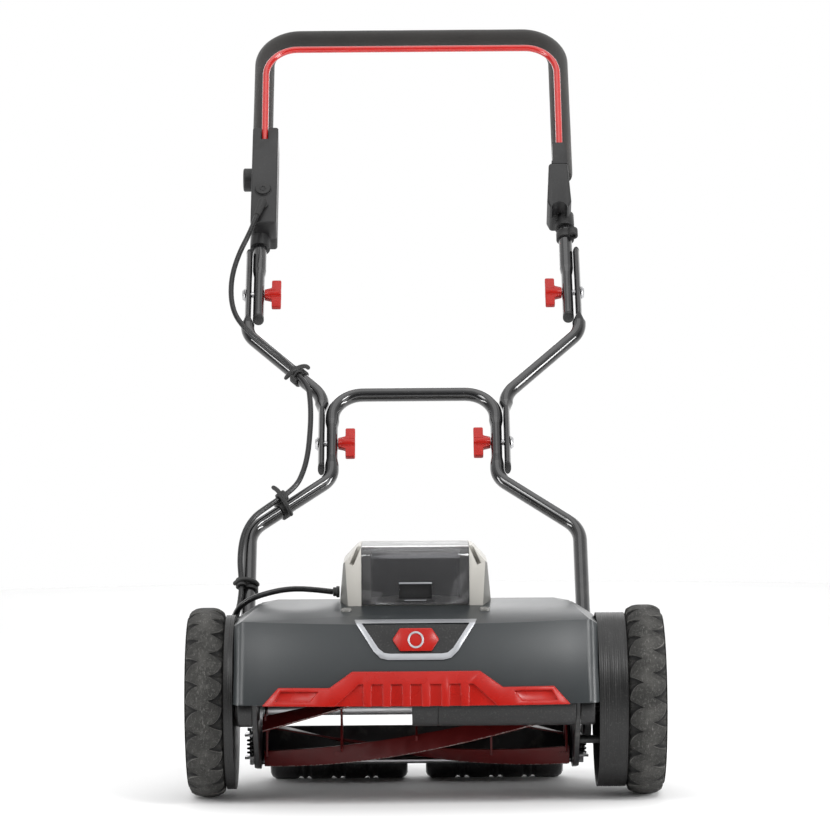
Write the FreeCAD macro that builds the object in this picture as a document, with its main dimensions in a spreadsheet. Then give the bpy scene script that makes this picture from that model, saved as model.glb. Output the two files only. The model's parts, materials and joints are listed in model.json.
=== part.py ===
"""Battery reel mower with a folding handle.

Frame: X to the right as seen from the front, Y towards the rear, Z up. The origin is on the
ground, under the wheel axle, in the middle of the cut. Millimetres.

The handle lies in a sloping plane. Its pieces are drawn flat, with x across the machine, y up
along the slope and z out of the plane towards the front, and are then tilted into place.
"""

import FreeCAD, Part
import math
import os
import re
import Sketcher

DIMENSIONS = {
    # wheels
    "wheel_radius": 115,
    "tyre_inner_radius": 90,
    "axle_radius": 8,
    "left_wheel_centre": -254,
    "right_wheel_centre": 277,
    "drum_radius": 106,
    # side plates and what they carry
    "plate_inside": 190,
    "plate_thickness": 6,
    "motor_y": -97,
    "motor_z": 120,
    "motor_radius": 24,
    "end_y": -95,
    "end_z": 116,
    "end_radius": 20,
    "end_length": 17,
    # reel
    "reel_z": 106,
    "reel_radius": 70,
    "shaft_radius": 8,
    "spider_step": 91,
    "blade_width": 22,
    "blade_thickness": 2.2,
    "belt_plane": 207,
    "reel_pulley_radius": 36,
    "motor_pulley_radius": 9,
    "belt_thickness": 2.5,
    # rollers
    "roller_radius": 25,
    "roller_y": 150,
    "roller_inner_end": 11.5,
    "roller_outer_end": 183.5,
    "carriage_y": 105,
    "carriage_z": 92,
    # cover and housing
    "cover_half_width": 218.5,
    "cover_bottom": 125,
    "cover_wall": 2.5,
    "housing_floor": 242,
    "lid_half_width": 65.7,
    "lid_thickness": 3,
    "lid_pin_y": 90,
    "lid_pin_z": 300,
    # handle
    "handle_slope": 48,
    "handle_root_y": 38,
    "handle_root_z": 115,
    "tube_radius": 9,
    "tube_wall": 1.5,
    "outer_half_width": 4.4,
    "outer_half_height": 11.4,
    "inner_half_width": 7.4,
    "inner_half_height": 10.2,
    "leg_half_span": 209.5,
    "waist_half_span": 106.5,
    "joint_offset": 13.8,
    "top_half_span": 206.5,
    "lower_joint": 402,
    "upper_joint": 659.5,
    "crossbar_station": 484,
    "top_bar_station": 1138.6,
    "bolt_radius": 4,
    "grip_radius": 14,
    "grip_left_end": 941,
    "grip_right_end": 871,
    "bail_station": 880,
    "bail_lift": 19.5,
    "bail_reach": 197.9,
    "bail_half_span": 202.5,
    "bail_radius": 4.5,
    "bail_rest_angle": 7.2,
    "button_station": 866,
    "button_radius": 16,
    "cable_radius": 3.5,
}

WORD = re.compile(r"[a-z_]+")
DRAWING_PLANES = {"XY": "XY_Plane", "XZ": "XZ_Plane", "YZ": "YZ_Plane"}
ORIGIN_POINT = (-1, 1)
ACROSS = FreeCAD.Rotation(FreeCAD.Vector(0, 1, 0), 90)
UPRIGHT = FreeCAD.Rotation()
SIDES = (("left", -1), ("right", 1))

document = FreeCAD.newDocument("reel_mower")
sheet = document.addObject("Spreadsheet::Sheet", "Dimensions")
for row, (alias, number) in enumerate(DIMENSIONS.items(), start=1):
    sheet.set("A%d" % row, alias.replace("_", " "))
    sheet.set("B%d" % row, str(number))
    sheet.setAlias("B%d" % row, alias)
document.recompute()

nodes = []


# ---------------------------------------------------------------- helpers

def size(alias):
    return float(sheet.get(alias))


def formula(text):
    """Write a formula in the sheet's aliases as an expression of this document."""
    def named(match):
        word = match.group()
        return "Dimensions." + word if word in DIMENSIONS else word
    return WORD.sub(named, str(text))


def bind(item, **formulas):
    for name, text in formulas.items():
        item.setExpression(name, formula(text))
    return item


def place(item, x=0, y=0, z=0, rotation=UPRIGHT):
    item.Placement = FreeCAD.Placement(FreeCAD.Vector(0, 0, 0), rotation)
    for axis, text in (("x", x), ("y", y), ("z", z)):
        item.setExpression("Placement.Base." + axis, formula(text))
    return item


def node(item, label):
    """Keep an object as a sub-part under its own label."""
    item.Label = label
    nodes.append(item)
    return item


def box(name, length, width, height, x, y, z):
    item = document.addObject("Part::Box", name)
    bind(item, Length=length, Width=width, Height=height)
    return place(item, x, y, z)


def rod(name, radius, length, x, y, z, rotation=ACROSS):
    """A cylinder, along X unless another rotation is given."""
    item = document.addObject("Part::Cylinder", name)
    bind(item, Radius=radius, Height=length)
    return place(item, x, y, z, rotation)


def fuse(name, shapes):
    item = document.addObject("Part::MultiFuse", name)
    item.Shapes = shapes
    return item


def common(name, shapes):
    item = document.addObject("Part::MultiCommon", name)
    item.Shapes = shapes
    return item


def cut(name, base, tools):
    tool = tools[0] if len(tools) == 1 else fuse(name + "_tools", tools)
    item = document.addObject("Part::Cut", name)
    item.Base = base
    item.Tool = tool
    return item


def group(name, shapes):
    """Separate solids kept together in one node."""
    item = document.addObject("Part::Compound", name)
    item.Links = shapes
    return item


def mirror_across(name, source):
    item = document.addObject("Part::Mirroring", name)
    item.Source = source
    item.Normal = FreeCAD.Vector(1, 0, 0)
    item.Base = FreeCAD.Vector(0, 0, 0)
    return item


def pair(name, source):
    """A piece and its mirror image on the other side of the machine."""
    return group(name, [source, mirror_across(name + "_mirror", source)])


def solid(name, shape):
    """An object whose shape is made with Part's own functions."""
    item = document.addObject("Part::Feature", name)
    item.Shape = shape
    return item


def outline(sketch, corners):
    """Draw a closed outline whose corners are bound to formulas of the sheet."""
    values = [FreeCAD.Vector(number(x), number(y), 0) for x, y in corners]
    count = len(values)
    for index in range(count):
        sketch.addGeometry(Part.LineSegment(values[index], values[(index + 1) % count]), False)
    for index in range(count):
        following = (index + 1) % count
        sketch.addConstraint(Sketcher.Constraint("Coincident", index, 2, following, 1))
    for index, corner in enumerate(corners):
        for kind, part, text in (("DistanceX", 0, corner[0]), ("DistanceY", 1, corner[1])):
            start = values[index][part]
            held = sketch.addConstraint(Sketcher.Constraint(kind, *ORIGIN_POINT, index, 1, start))
            sketch.setExpression("Constraints[%d]" % held, formula(text))


def number(text):
    """The present value of a formula, worked out by the document itself."""
    return float(sheet.evalExpression(formula(text)))


def drawn_body(name, plane, corners):
    body = document.addObject("PartDesign::Body", name)
    sketch = body.newObject("Sketcher::SketchObject", name + "_sketch")
    for feature in body.Origin.OriginFeatures:
        if feature.Role == DRAWING_PLANES[plane]:
            sketch.AttachmentSupport = [(feature, "")]
    sketch.MapMode = "FlatFace"
    outline(sketch, corners)
    document.recompute()
    return body, sketch


def turned(name, corners, x, y, z):
    """A piece turned about a line along X; corners are (along, radius)."""
    body, sketch = drawn_body(name, "XY", corners)
    feature = body.newObject("PartDesign::Revolution", name + "_turn")
    feature.Profile = sketch
    feature.ReferenceAxis = (sketch, ["H_Axis"])
    feature.Angle = 360
    return place(body, x, y, z)


def plate(name, plane, corners, thickness, x=0, y=0, z=0):
    """A flat piece padded from a drawing plane, along X from YZ or along -Y from XZ."""
    body, sketch = drawn_body(name, plane, corners)
    feature = body.newObject("PartDesign::Pad", name + "_pad")
    feature.Profile = sketch
    bind(feature, Length=thickness)
    return place(body, x, y, z)


def round_edges(name, base, radius, chosen):
    """Round the edges that a test picks out."""
    document.recompute()
    item = document.addObject("Part::Fillet", name)
    item.Base = base
    edges = [index for index, edge in enumerate(base.Shape.Edges, start=1) if chosen(edge)]
    item.Edges = [(index, radius, radius) for index in edges]
    return item


# ---------------------------------------------------------------- tubes

def bent_path(points, radii):
    """Straight runs through the points, joined by tangent arcs."""
    edges = []
    start = points[0]
    for index in range(1, len(points) - 1):
        corner = points[index]
        back = (points[index - 1] - corner).normalize()
        ahead = (points[index + 1] - corner).normalize()
        half_turn = (math.pi - back.getAngle(ahead)) / 2
        reach = radii[index - 1] * math.tan(half_turn)
        middle = (back + ahead).normalize()
        depth = radii[index - 1] * (1 / math.cos(half_turn) - 1)
        first, last = corner + back * reach, corner + ahead * reach
        if (first - start).Length > 1e-6:
            edges.append(Part.LineSegment(start, first).toShape())
        edges.append(Part.Arc(first, corner + middle * depth, last).toShape())
        start = last
    edges.append(Part.LineSegment(start, points[-1]).toShape())
    return Part.Wire(edges)


def swept(path, radius):
    """A round bar along a path."""
    start = path.Edges[0]
    direction = start.tangentAt(start.FirstParameter)
    ring = Part.Wire(Part.Circle(path.Edges[0].Vertexes[0].Point, direction, radius).toShape())
    return path.makePipeShell([ring], True, False)


def ellipse_ring(x, y, half_width, half_height):
    """A ring across the handle's length, wide in x and tall in z."""
    centre = FreeCAD.Vector(x, y, 0)
    if half_height > half_width:
        curve = Part.Ellipse(centre + FreeCAD.Vector(0, 0, half_height),
                             centre + FreeCAD.Vector(half_width, 0, 0), centre)
    else:
        curve = Part.Circle(centre, FreeCAD.Vector(0, 1, 0), half_height)
    return Part.Wire(curve.toShape())


def flattened(kind, x, low, high, inset):
    """A straight flattened stretch of a joint's inner or outer tube."""
    half_width, half_height = size(kind + "_half_width"), size(kind + "_half_height")
    ring = ellipse_ring(x, low, half_width - inset, half_height - inset)
    return Part.Face(ring).extrude(FreeCAD.Vector(0, high - low, 0))


def transition(kind, x, flat_end, round_end, inset):
    """Where a tube goes from flattened to round."""
    radius = size("tube_radius") - inset
    half_width, half_height = size(kind + "_half_width"), size(kind + "_half_height")
    flat = ellipse_ring(x, flat_end, half_width - inset, half_height - inset)
    circle = ellipse_ring(x, round_end, radius, radius)
    return Part.makeLoft([flat, circle], True, False)


def fused(shapes):
    return shapes[0].fuse(shapes[1:]).removeSplitter()


def drilled(shape, x, station):
    """Cross holes for a joint bolt through one tube."""
    clearance, reach = 0.1, 30
    start = FreeCAD.Vector(x - reach / 2, station, 0)
    hole = Part.makeCylinder(size("bolt_radius") + clearance, reach, start, FreeCAD.Vector(1, 0, 0))
    return shape.cut(hole)


def tilt(item):
    """Turn a piece drawn in the handle's plane into its place on the machine."""
    item.Placement = FreeCAD.Placement(
        FreeCAD.Vector(0, size("handle_root_y"), size("handle_root_z")),
        FreeCAD.Rotation(FreeCAD.Vector(1, 0, 0), size("handle_slope")))
    return item


def point(x, y, z=0):
    return FreeCAD.Vector(x, y, z)


def mirrored(shape):
    return shape.mirror(point(0, 0), point(1, 0))


# ---------------------------------------------------------------- chassis

def side_plates():
    corners = [("motor_y - 15", 108), ("motor_y - 15", 138), (-70, 200), (58, 206), (128, 216),
               (142, 200), (140, 150), (124, 70), (92, 33), (20, 30), (-45, 40), (-85, 80)]
    for side, sign in SIDES:
        start = "plate_inside" if sign > 0 else "-plate_inside - plate_thickness"
        body = plate("side_plate_%s_body" % side, "YZ", corners, "plate_thickness", start)
        length = "plate_thickness + 2"
        holes = [rod("carriage_hole_" + side, 5.1, length, start + " - 1", "carriage_y", "carriage_z")]
        if sign > 0:
            holes.append(rod("reel_passage", 14, length, start + " - 1", 0, "reel_z"))
            holes.append(rod("motor_passage", 8, length, start + " - 1", "motor_y", "motor_z"))
        node(cut("side_plate_" + side + "_cut", body, holes), "side_plate_" + side)
    node(rod("rear_bar", 7, "2 * plate_inside", "-plate_inside", 110, 180), "rear_tie_bar")


def wheel_axles():
    left = fuse("axle_left", [
        rod("axle_left_flange", 18, 4, "-plate_inside - plate_thickness - 4", 0, "wheel_radius"),
        rod("axle_left_rod", "axle_radius", 74, -272, 0, "wheel_radius"),
        rod("axle_left_head", 12, 3, -275, 0, "wheel_radius")])
    right = fuse("axle_right", [
        rod("axle_right_flange", 18, 4, 245.5, 0, "wheel_radius"),
        rod("axle_right_rod", "axle_radius", 48, 247.5, 0, "wheel_radius"),
        rod("axle_right_head", 12, 3, 295.5, 0, "wheel_radius")])
    node(group("axle_pair", [left, right]), "wheel_axles")


def motor():
    """The motor across the front, its rotor, and the covers at its two ends."""
    shell = rod("motor_shell", "motor_radius", 164, "plate_inside - 164", "motor_y", "motor_z")
    bore = rod("motor_bore", "motor_radius - 3", 166, "plate_inside - 165", "motor_y", "motor_z")
    node(cut("motor_tube", shell, [bore]), "motor_housing")
    cap = rod("motor_cap_form", "motor_radius", 31, "plate_inside - 195", "motor_y", "motor_z")
    recess = rod("motor_cap_recess", "motor_radius - 3", 28, "plate_inside - 191", "motor_y", "motor_z")
    node(cut("motor_cap", cap, [recess]), "motor_end_cap")
    outside = "plate_inside + plate_thickness"
    guard = rod("guard_form", "end_radius", "end_length", outside, "end_y", "end_z")
    hollow = rod("guard_hollow", "end_radius - 2", "end_length - 1", outside + " - 1", "end_y", "end_z")
    opening = box("guard_opening", "end_length - 1", 40, 60, outside + " - 1", "end_y", "end_z - 30")
    node(cut("guard", guard, [hollow, opening]), "belt_guard")
    stay = rod("stay", "end_radius", "end_length", "-(%s) - end_length" % outside, "end_y", "end_z")
    node(stay, "front_stay")
    rotor = rod("rotor_core", 16, 90, 60, "motor_y", "motor_z")
    spindle = rod("rotor_spindle", 4, 170, 40, "motor_y", "motor_z")
    pinion = rod("rotor_pinion", "motor_pulley_radius", 8, "belt_plane - 5", "motor_y", "motor_z")
    node(fuse("rotor", [rotor, spindle, pinion]), "motor_rotor")


def drums():
    """The round drive cover on the right and the narrow ring on the left."""
    wall = [(0, "axle_radius"), (4, "axle_radius"), (4, "drum_radius"), (-30.5, "drum_radius"),
            (-30.5, "drum_radius - 3"), (0, "drum_radius - 3")]
    shell = turned("drive_shell", wall, 249.5, 0, "wheel_radius")
    posts = []
    for index, (y, z) in enumerate(((0, 195), (80, 92), (-69, 75))):
        posts.append(rod("drive_post_%d" % index, 5, 54.5, "plate_inside + plate_thickness", y, z))
    node(fuse("drive_case", [shell] + posts), "drive_cover")
    ring = [(0, 18.3), (-4, 18.3), (-4, "axle_radius"), (-26.5, "axle_radius"),
            (-26.5, "drum_radius - 3"), (-34.5, "drum_radius - 3"), (-34.5, "drum_radius"),
            (-23.5, "drum_radius"), (-23.5, 30), (0, 30)]
    body = turned("left_ring", ring, "-plate_inside - plate_thickness", 0, "wheel_radius")
    node(body, "cover_ring")


def bed_knife():
    """The fixed knife on its beam, with a sprung adjuster at each end."""
    span = "2 * plate_inside"
    upright = box("beam_upright", span, 4, 42, "-plate_inside", 72, 34)
    shelf = box("beam_shelf", span, 46, 3, "-plate_inside", 30, 34)
    node(fuse("beam", [upright, shelf]), "bed_knife_beam")
    node(box("knife", span + " - 2", 34, 2.6, "-plate_inside + 1", 24, 37), "bed_knife")
    outside = "plate_inside + plate_thickness"
    centre = outside + " + 7.5"
    brackets = []
    screw = fuse("screw_right", [
        rod("screw_shank", 3, 44, centre, 60, 30, UPRIGHT),
        rod("screw_head", 5.5, 4, centre, 60, 72, UPRIGHT)])
    for name, height in (("lower", 38), ("upper", 66)):
        form = box("bracket_" + name, 16, 22, 3, outside, 49, height)
        hole = rod("bracket_hole_" + name, 3.1, 5, centre, 60, height - 1, UPRIGHT)
        brackets.append(cut("bracket_cut_" + name, form, [hole]))
    shapes = [screw] + brackets
    mirrors = [mirror_across("adjuster_mirror_%d" % index, shape) for index, shape in enumerate(shapes)]
    node(group("adjuster_set", shapes + mirrors), "blade_adjusters")
    x = size("plate_inside") + size("plate_thickness") + 7.5
    wire_radius, coil_radius, pitch, turns = 1.5, 5, 5, 4
    helix = Part.makeHelix(pitch, pitch * turns, coil_radius)
    ring = Part.Wire(Part.Circle(point(coil_radius, 0), point(0, 1, 0), wire_radius).toShape())
    coil = Part.Wire(helix.Edges).makePipeShell([ring], True, True)
    springs = []
    for sign in (-1, 1):
        placed = coil.copy()
        placed.translate(point(sign * x, 60, 42.5))
        springs.append(placed)
    node(solid("springs", Part.makeCompound(springs)), "adjuster_springs")


# ---------------------------------------------------------------- reel and drive

def reel_angle(x, index):
    """Where a blade's cutting edge stands at a place along the reel, from +Y towards +Z."""
    start, twist, spacing = 223.6, -0.235, 72
    return math.radians(start + twist * x + spacing * index)


def blade_section(x, index):
    """The blade's cut across the reel, as a closed wire."""
    lean, inner_radius = math.radians(13), 51
    axis = point(x, 0, size("reel_z"))
    outer_angle = reel_angle(x, index)
    outer = point(0, math.cos(outer_angle), math.sin(outer_angle)) * size("reel_radius")
    inner_angle = outer_angle - lean
    inner = point(0, math.cos(inner_angle), math.sin(inner_angle)) * inner_radius
    along = (inner - outer).normalize()
    across = point(0, -along.z, along.y) * size("blade_thickness")
    foot = outer + along * size("blade_width")
    corners = [axis + corner for corner in (outer, foot, foot - across, outer - across)]
    return Part.makePolygon(corners + corners[:1])


def reel():
    half_length, stations = 185.5, 17
    blades = []
    for index in range(5):
        along = [-half_length + 2 * half_length * step / (stations - 1) for step in range(stations)]
        blades.append(Part.makeLoft([blade_section(x, index) for x in along], True, False))
    node(solid("blades", Part.makeCompound(blades)), "reel_blades")

    thickness, arm_reach, arm_half_width, hub_radius = 2.5, 58, 7, 18
    spiders = []
    for step in range(-2, 3):
        x = step * size("spider_step") - thickness / 2
        centre = point(x, 0, size("reel_z"))
        forms = [Part.makeCylinder(hub_radius, thickness, centre, point(1, 0, 0))]
        for index in range(5):
            arm = Part.makeBox(thickness, arm_reach, 2 * arm_half_width, point(0, 0, -arm_half_width))
            arm.rotate(point(0, 0), point(1, 0, 0), math.degrees(reel_angle(x, index)) - 8)
            arm.translate(centre)
            forms.append(arm)
        bore = Part.makeCylinder(size("shaft_radius"), thickness, centre, point(1, 0, 0))
        spiders.append(fused(forms).cut(bore))
    node(solid("spiders", Part.makeCompound(spiders)), "reel_spiders")

    node(rod("shaft", "shaft_radius", 403, -189, 0, "reel_z"), "reel_shaft")
    pulley = [(-5, "shaft_radius"), (5, "shaft_radius"), (5, "reel_pulley_radius + 3"),
              (4, "reel_pulley_radius + 3"), (4, "reel_pulley_radius"), (-4, "reel_pulley_radius"),
              (-4, "reel_pulley_radius + 3"), (-5, "reel_pulley_radius + 3")]
    node(turned("pulley", pulley, "belt_plane", 0, "reel_z"), "reel_pulley")

    bore_radius = "shaft_radius + 0.05"
    left = cut("bearing_left", rod("bearing_left_form", 20, 3.8, "-plate_inside", 0, "reel_z"),
               [rod("bearing_left_bore", bore_radius, 6, "-plate_inside - 1", 0, "reel_z")])
    right_form = fuse("bearing_right_form", [
        rod("bearing_right_flange", 20, 3.8, "plate_inside - 3.8", 0, "reel_z"),
        rod("bearing_right_sleeve", 14, 8, "plate_inside - 1", 0, "reel_z")])
    right = cut("bearing_right", right_form,
                [rod("bearing_right_bore", bore_radius, 14, "plate_inside - 5", 0, "reel_z")])
    node(group("bearing_pair", [left, right]), "reel_bearings")


def belt_face(extra):
    """The belt's side view as a face: two arcs and the straight runs that touch both."""
    large = size("reel_pulley_radius") + extra
    small = size("motor_pulley_radius") + extra
    x = size("belt_plane") - 3.5
    reel_centre = point(x, 0, size("reel_z"))
    motor_centre = point(x, size("motor_y"), size("motor_z"))
    line = motor_centre - reel_centre
    heading = math.atan2(line.z, line.y)
    opening = math.acos((large - small) / line.Length)

    def rim(centre, radius, angle):
        return centre + point(0, math.cos(angle), math.sin(angle)) * radius

    upper, lower = heading - opening, heading + opening
    first = rim(reel_centre, large, upper)
    second = rim(motor_centre, small, upper)
    third = rim(motor_centre, small, lower)
    fourth = rim(reel_centre, large, lower)
    edges = [Part.LineSegment(first, second).toShape(),
             Part.Arc(second, rim(motor_centre, small, heading), third).toShape(),
             Part.LineSegment(third, fourth).toShape(),
             Part.Arc(fourth, rim(reel_centre, large, heading + math.pi), first).toShape()]
    return Part.Face(Part.Wire(edges))


def belt():
    gap, width = 0.3, 7
    inner = belt_face(gap).extrude(point(width, 0))
    outer = belt_face(gap + size("belt_thickness")).extrude(point(width, 0))
    node(solid("belt", outer.cut(inner)), "drive_belt")


# ---------------------------------------------------------------- wheels and rollers

def wheels():
    tyre = [(-23, "tyre_inner_radius"), (23, "tyre_inner_radius"), (23, 103), (20, 110), (14, 113.6),
            (8, "wheel_radius"), (-8, "wheel_radius"), (-14, 113.6), (-20, 110), (-23, 103)]
    bore, rim = "axle_radius + 0.05", "tyre_inner_radius"
    for side, sign in SIDES:
        centre = "%s_wheel_centre" % side
        profile = [(-21.5, bore), (18, bore), (18, 16), (3, 16), (3, 82), (21, 82), (21, rim),
                   (-21, rim), (-21, 82), (-2, 82), (-2, 18), (-21.5, 18)]
        outward = [("%d * %s" % (sign, along), radius) for along, radius in profile]
        node(turned("tyre_%s_body" % side, tyre, centre, 0, "wheel_radius"), "tyre_" + side)
        disc = turned("rim_%s_body" % side, outward, centre, 0, "wheel_radius")
        windows = []
        for index in range(6):
            angle = math.radians(60 * index + 30)
            windows.append(rod("rim_%s_window_%d" % (side, index), 15, 12, centre + " - 6",
                               50 * math.cos(angle), "wheel_radius + %f" % (50 * math.sin(angle))))
        node(cut("rim_%s_cut" % side, disc, windows), "rim_" + side)


def rollers():
    """Two grooved rollers on a shaft that two short arms carry."""
    length = "roller_outer_end - roller_inner_end"
    rise = "roller_radius"
    bore = 6.1
    groove_depth = 2.5
    profile = [(0, bore), (length, bore), (length, 18), ("%s - 2" % length, 22),
               ("%s - 7" % length, rise)]
    groove_width = 4
    for along in (134, 124, 93, 82, 51, 40):
        profile += [(along + groove_width, rise), (along + 1, "%s - %s" % (rise, groove_depth)),
                    (along - 1, "%s - %s" % (rise, groove_depth)), (along - groove_width, rise)]
    profile += [(7, rise), (2, 22), (0, 18)]
    for side, sign in SIDES:
        handed = [("%d * (%s)" % (sign, along), radius) for along, radius in profile]
        start = "%d * roller_inner_end" % sign
        node(turned("roller_%s_body" % side, handed, start, "roller_y", rise), "roller_" + side)
    shaft = rod("roller_rod", 6, "2 * plate_inside - 1", "-plate_inside + 0.5", "roller_y", rise)
    node(shaft, "roller_shaft")

    arm_outline = [("carriage_y - 12", "carriage_z + 4"), ("carriage_y - 4", "carriage_z + 12"),
                   ("carriage_y + 12", "carriage_z + 6"), ("roller_y + 12", rise + " + 4"),
                   ("roller_y + 10", rise + " - 10"), ("roller_y - 10", rise + " - 8")]
    arm = plate("arm_body", "YZ", arm_outline, 5, "plate_inside - 5.5")
    pin = rod("arm_pin", 5, 9.5, "plate_inside - 4", "carriage_y", "carriage_z")
    hole = rod("arm_hole", 6, 8, "plate_inside - 7", "roller_y", rise)
    node(pair("carriage", cut("arm", fuse("arm_form", [arm, pin]), [hole])), "roller_carriage")


# ---------------------------------------------------------------- cover

def plan_form(inset, bottom, top):
    """The cover seen from above, leaning back as it rises: a curved front and straight sides."""
    lean, front_middle, front_end = 0.543, -140, -124
    half = size("cover_half_width") - inset
    forward = inset * 1.14
    level = size("cover_bottom")
    shift = point(0, lean * (bottom - level), bottom)
    corner = 14
    middle = point(0, front_middle + forward) + shift
    left = point(-half + corner, front_end + forward) + shift
    right = point(half - corner, front_end + forward) + shift
    left_side = point(-half, front_end + forward + corner) + shift
    right_side = point(half, front_end + forward + corner) + shift
    depth = corner * (1 - math.sqrt(0.5))
    left_bend = point(-half + depth, front_end + forward + depth) + shift
    right_bend = point(half - depth, front_end + forward + depth) + shift
    rear = 400
    edges = [Part.Arc(left, middle, right).toShape(),
             Part.Arc(right, right_bend, right_side).toShape(),
             Part.LineSegment(right_side, point(half, rear, bottom)).toShape(),
             Part.LineSegment(point(half, rear, bottom), point(-half, rear, bottom)).toShape(),
             Part.LineSegment(point(-half, rear, bottom), left_side).toShape(),
             Part.Arc(left_side, left_bend, left).toShape()]
    return Part.Face(Part.Wire(edges)).extrude(point(0, lean * (top - bottom), top - bottom))


def cover_form(name, inset, bottom):
    """The cover's outer form, moved inwards by an inset all over."""
    reach = 30
    side_view = [(-300, bottom), (-300, "182.7 - %s" % inset), (33, "237 - %s" % inset),
                 (125, "212 - %s" % inset), ("165 - %s" % inset, 150), ("165 - %s" % inset, bottom)]
    profile = plate(name + "_side_view", "YZ", side_view, 500, -250)
    half = "(cover_half_width - %s)" % inset
    front_view = [("-" + half, bottom), (half, bottom), (half, "214 - %s" % inset),
                  (193, "230.5 - %s" % inset), (165, "238 - %s" % inset), (-165, "238 - %s" % inset),
                  (-193, "230.5 - %s" % inset), ("-" + half, "214 - %s" % inset)]
    ends = plate(name + "_front_view", "XZ", front_view, 700, 0, 400)
    plan = solid(name + "_plan", plan_form(inset, bottom, size("cover_bottom") + 130 + reach))
    whole = common(name + "_whole", [profile, ends, plan])
    notch = box(name + "_notch", 60, 200, 300, "plate_inside - 1 - %s" % inset, "50 - %s" % inset,
                bottom - 10)
    other = mirror_across(name + "_other_notch", notch)
    return cut(name, whole, [notch, other])


def front_piece(name, cover_outer, outset, corners, windows=(), recess=0):
    """A piece of trim that stands proud of the cover's face, with windows or recesses cut in it."""
    start, depth = -72, 150
    outer = cover_form(name + "_outer", -outset, size("cover_bottom"))
    prism = plate(name + "_prism", "XZ", corners, depth, 0, start)
    layer = cut(name + "_layer", common(name + "_front", [prism, outer]), [cover_outer])
    if not windows:
        return layer
    tools = [plate("%s_window_%d" % (name, index), "XZ", window, depth, 0, start)
             for index, window in enumerate(windows)]
    if recess:
        floor = cover_form(name + "_floor", -(outset - recess), size("cover_bottom"))
        openings = fuse(name + "_openings", tools) if len(tools) > 1 else tools[0]
        tools = [cut(name + "_recesses", openings, [floor])]
    return cut(name + "_cut", layer, tools)


def both_sides(corners):
    """The same outline and its mirror image."""
    return [list(corners), [(-x, z) for x, z in reversed(corners)]]


def cover():
    """The cover itself; gives back its outer form for the trim to stand on."""
    cover_outer = cover_form("cover_outside", 0, size("cover_bottom"))
    inner = cover_form("cover_inside", size("cover_wall"), size("cover_bottom") - 12)
    bar_hole = rod("bar_hole", 8, 400, -200, 110, 180)
    plate_gap = box("plate_gap", 7, 20, 200, "plate_inside - 0.5", 44, 100)
    other_gap = mirror_across("other_plate_gap", plate_gap)
    boss_gap = rod("boss_gap", 31.5, 500, -250, 0, "wheel_radius")
    post_gap = rod("post_gap", 5.5, 40, 200, 0, 195)
    gaps = [bar_hole, plate_gap, other_gap, boss_gap, post_gap]
    node(cut("cover", cover_outer, [inner] + gaps), "cover_shell")
    return cover_outer


def trim(cover_outer):
    low = 125
    outline_corners = [(-183, low), (-164, 145.5), (-103, 145.5), (-76, 164), (76, 164), (103, 145.5),
                       (164, 145.5), (183, low)]
    windows = both_sides([(-168, 130), (-161, 141.5), (-116, 141.5), (-126, 130)])
    rib_half_width, rib_step, top, shoulder, foot = 4.8, 23.2, 150, 68, 98
    edges = [sign * (index + 0.5) * rib_step for index in range(3) for sign in (-1, 1)]
    stops = sorted(edges)
    for left, right in zip(stops[:-1], stops[1:]):
        windows.append([(left + rib_half_width, low - 1), (left + rib_half_width, top),
                        (right - rib_half_width, top), (right - rib_half_width, low - 1)])
    windows += both_sides([(stops[-1] + rib_half_width, low - 1), (stops[-1] + rib_half_width, top),
                           (shoulder, top), (foot, low - 1)])
    node(front_piece("trim", cover_outer, 5, outline_corners, windows, 2.5), "grille_trim")

    band = [(-75, 224), (-50.5, 187), (-42, 179), (-33, 177), (33, 177), (42, 179), (50.5, 187), (75, 224)]
    inside = [(-64.5, 218.6), (-44.5, 190), (-38, 185), (-31, 184), (31, 184), (38, 185), (44.5, 190),
              (64.5, 218.6)]
    node(front_piece("band", cover_outer, 1.6, band, [inside]), "panel_frame")
    hexagon = [(-28, 200), (-19, 213), (19, 213), (28, 200), (19, 187), (-19, 187)]
    node(front_piece("emblem", cover_outer, 3, hexagon), "badge")


# ---------------------------------------------------------------- battery housing

def housing_form(name, inset, half_width, rear):
    """The housing's side view across a given width, moved inwards by an inset."""
    inset = "(%s)" % inset
    side_view = [("-8 + %s" % inset, 200), ("6.7 + %s" % inset, 288)]
    for y, z in ((9, 293.5), (13, 298), (19, 300.8), (27, 301.6)):
        side_view.append(("%s + %s" % (y, inset), "%s - %s" % (z, inset)))
    side_view += [(96, "303 - %s" % inset), ("138 - %s" % inset, 262), ("144 - %s" % inset, 200)]
    profile = plate(name + "_side_view", "YZ", side_view, 240, -120)
    limit = box(name + "_limit", "2 * (%s)" % half_width, rear + 50, 200, "-(%s)" % half_width, -50, 180)
    return common(name, [profile, limit])


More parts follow.
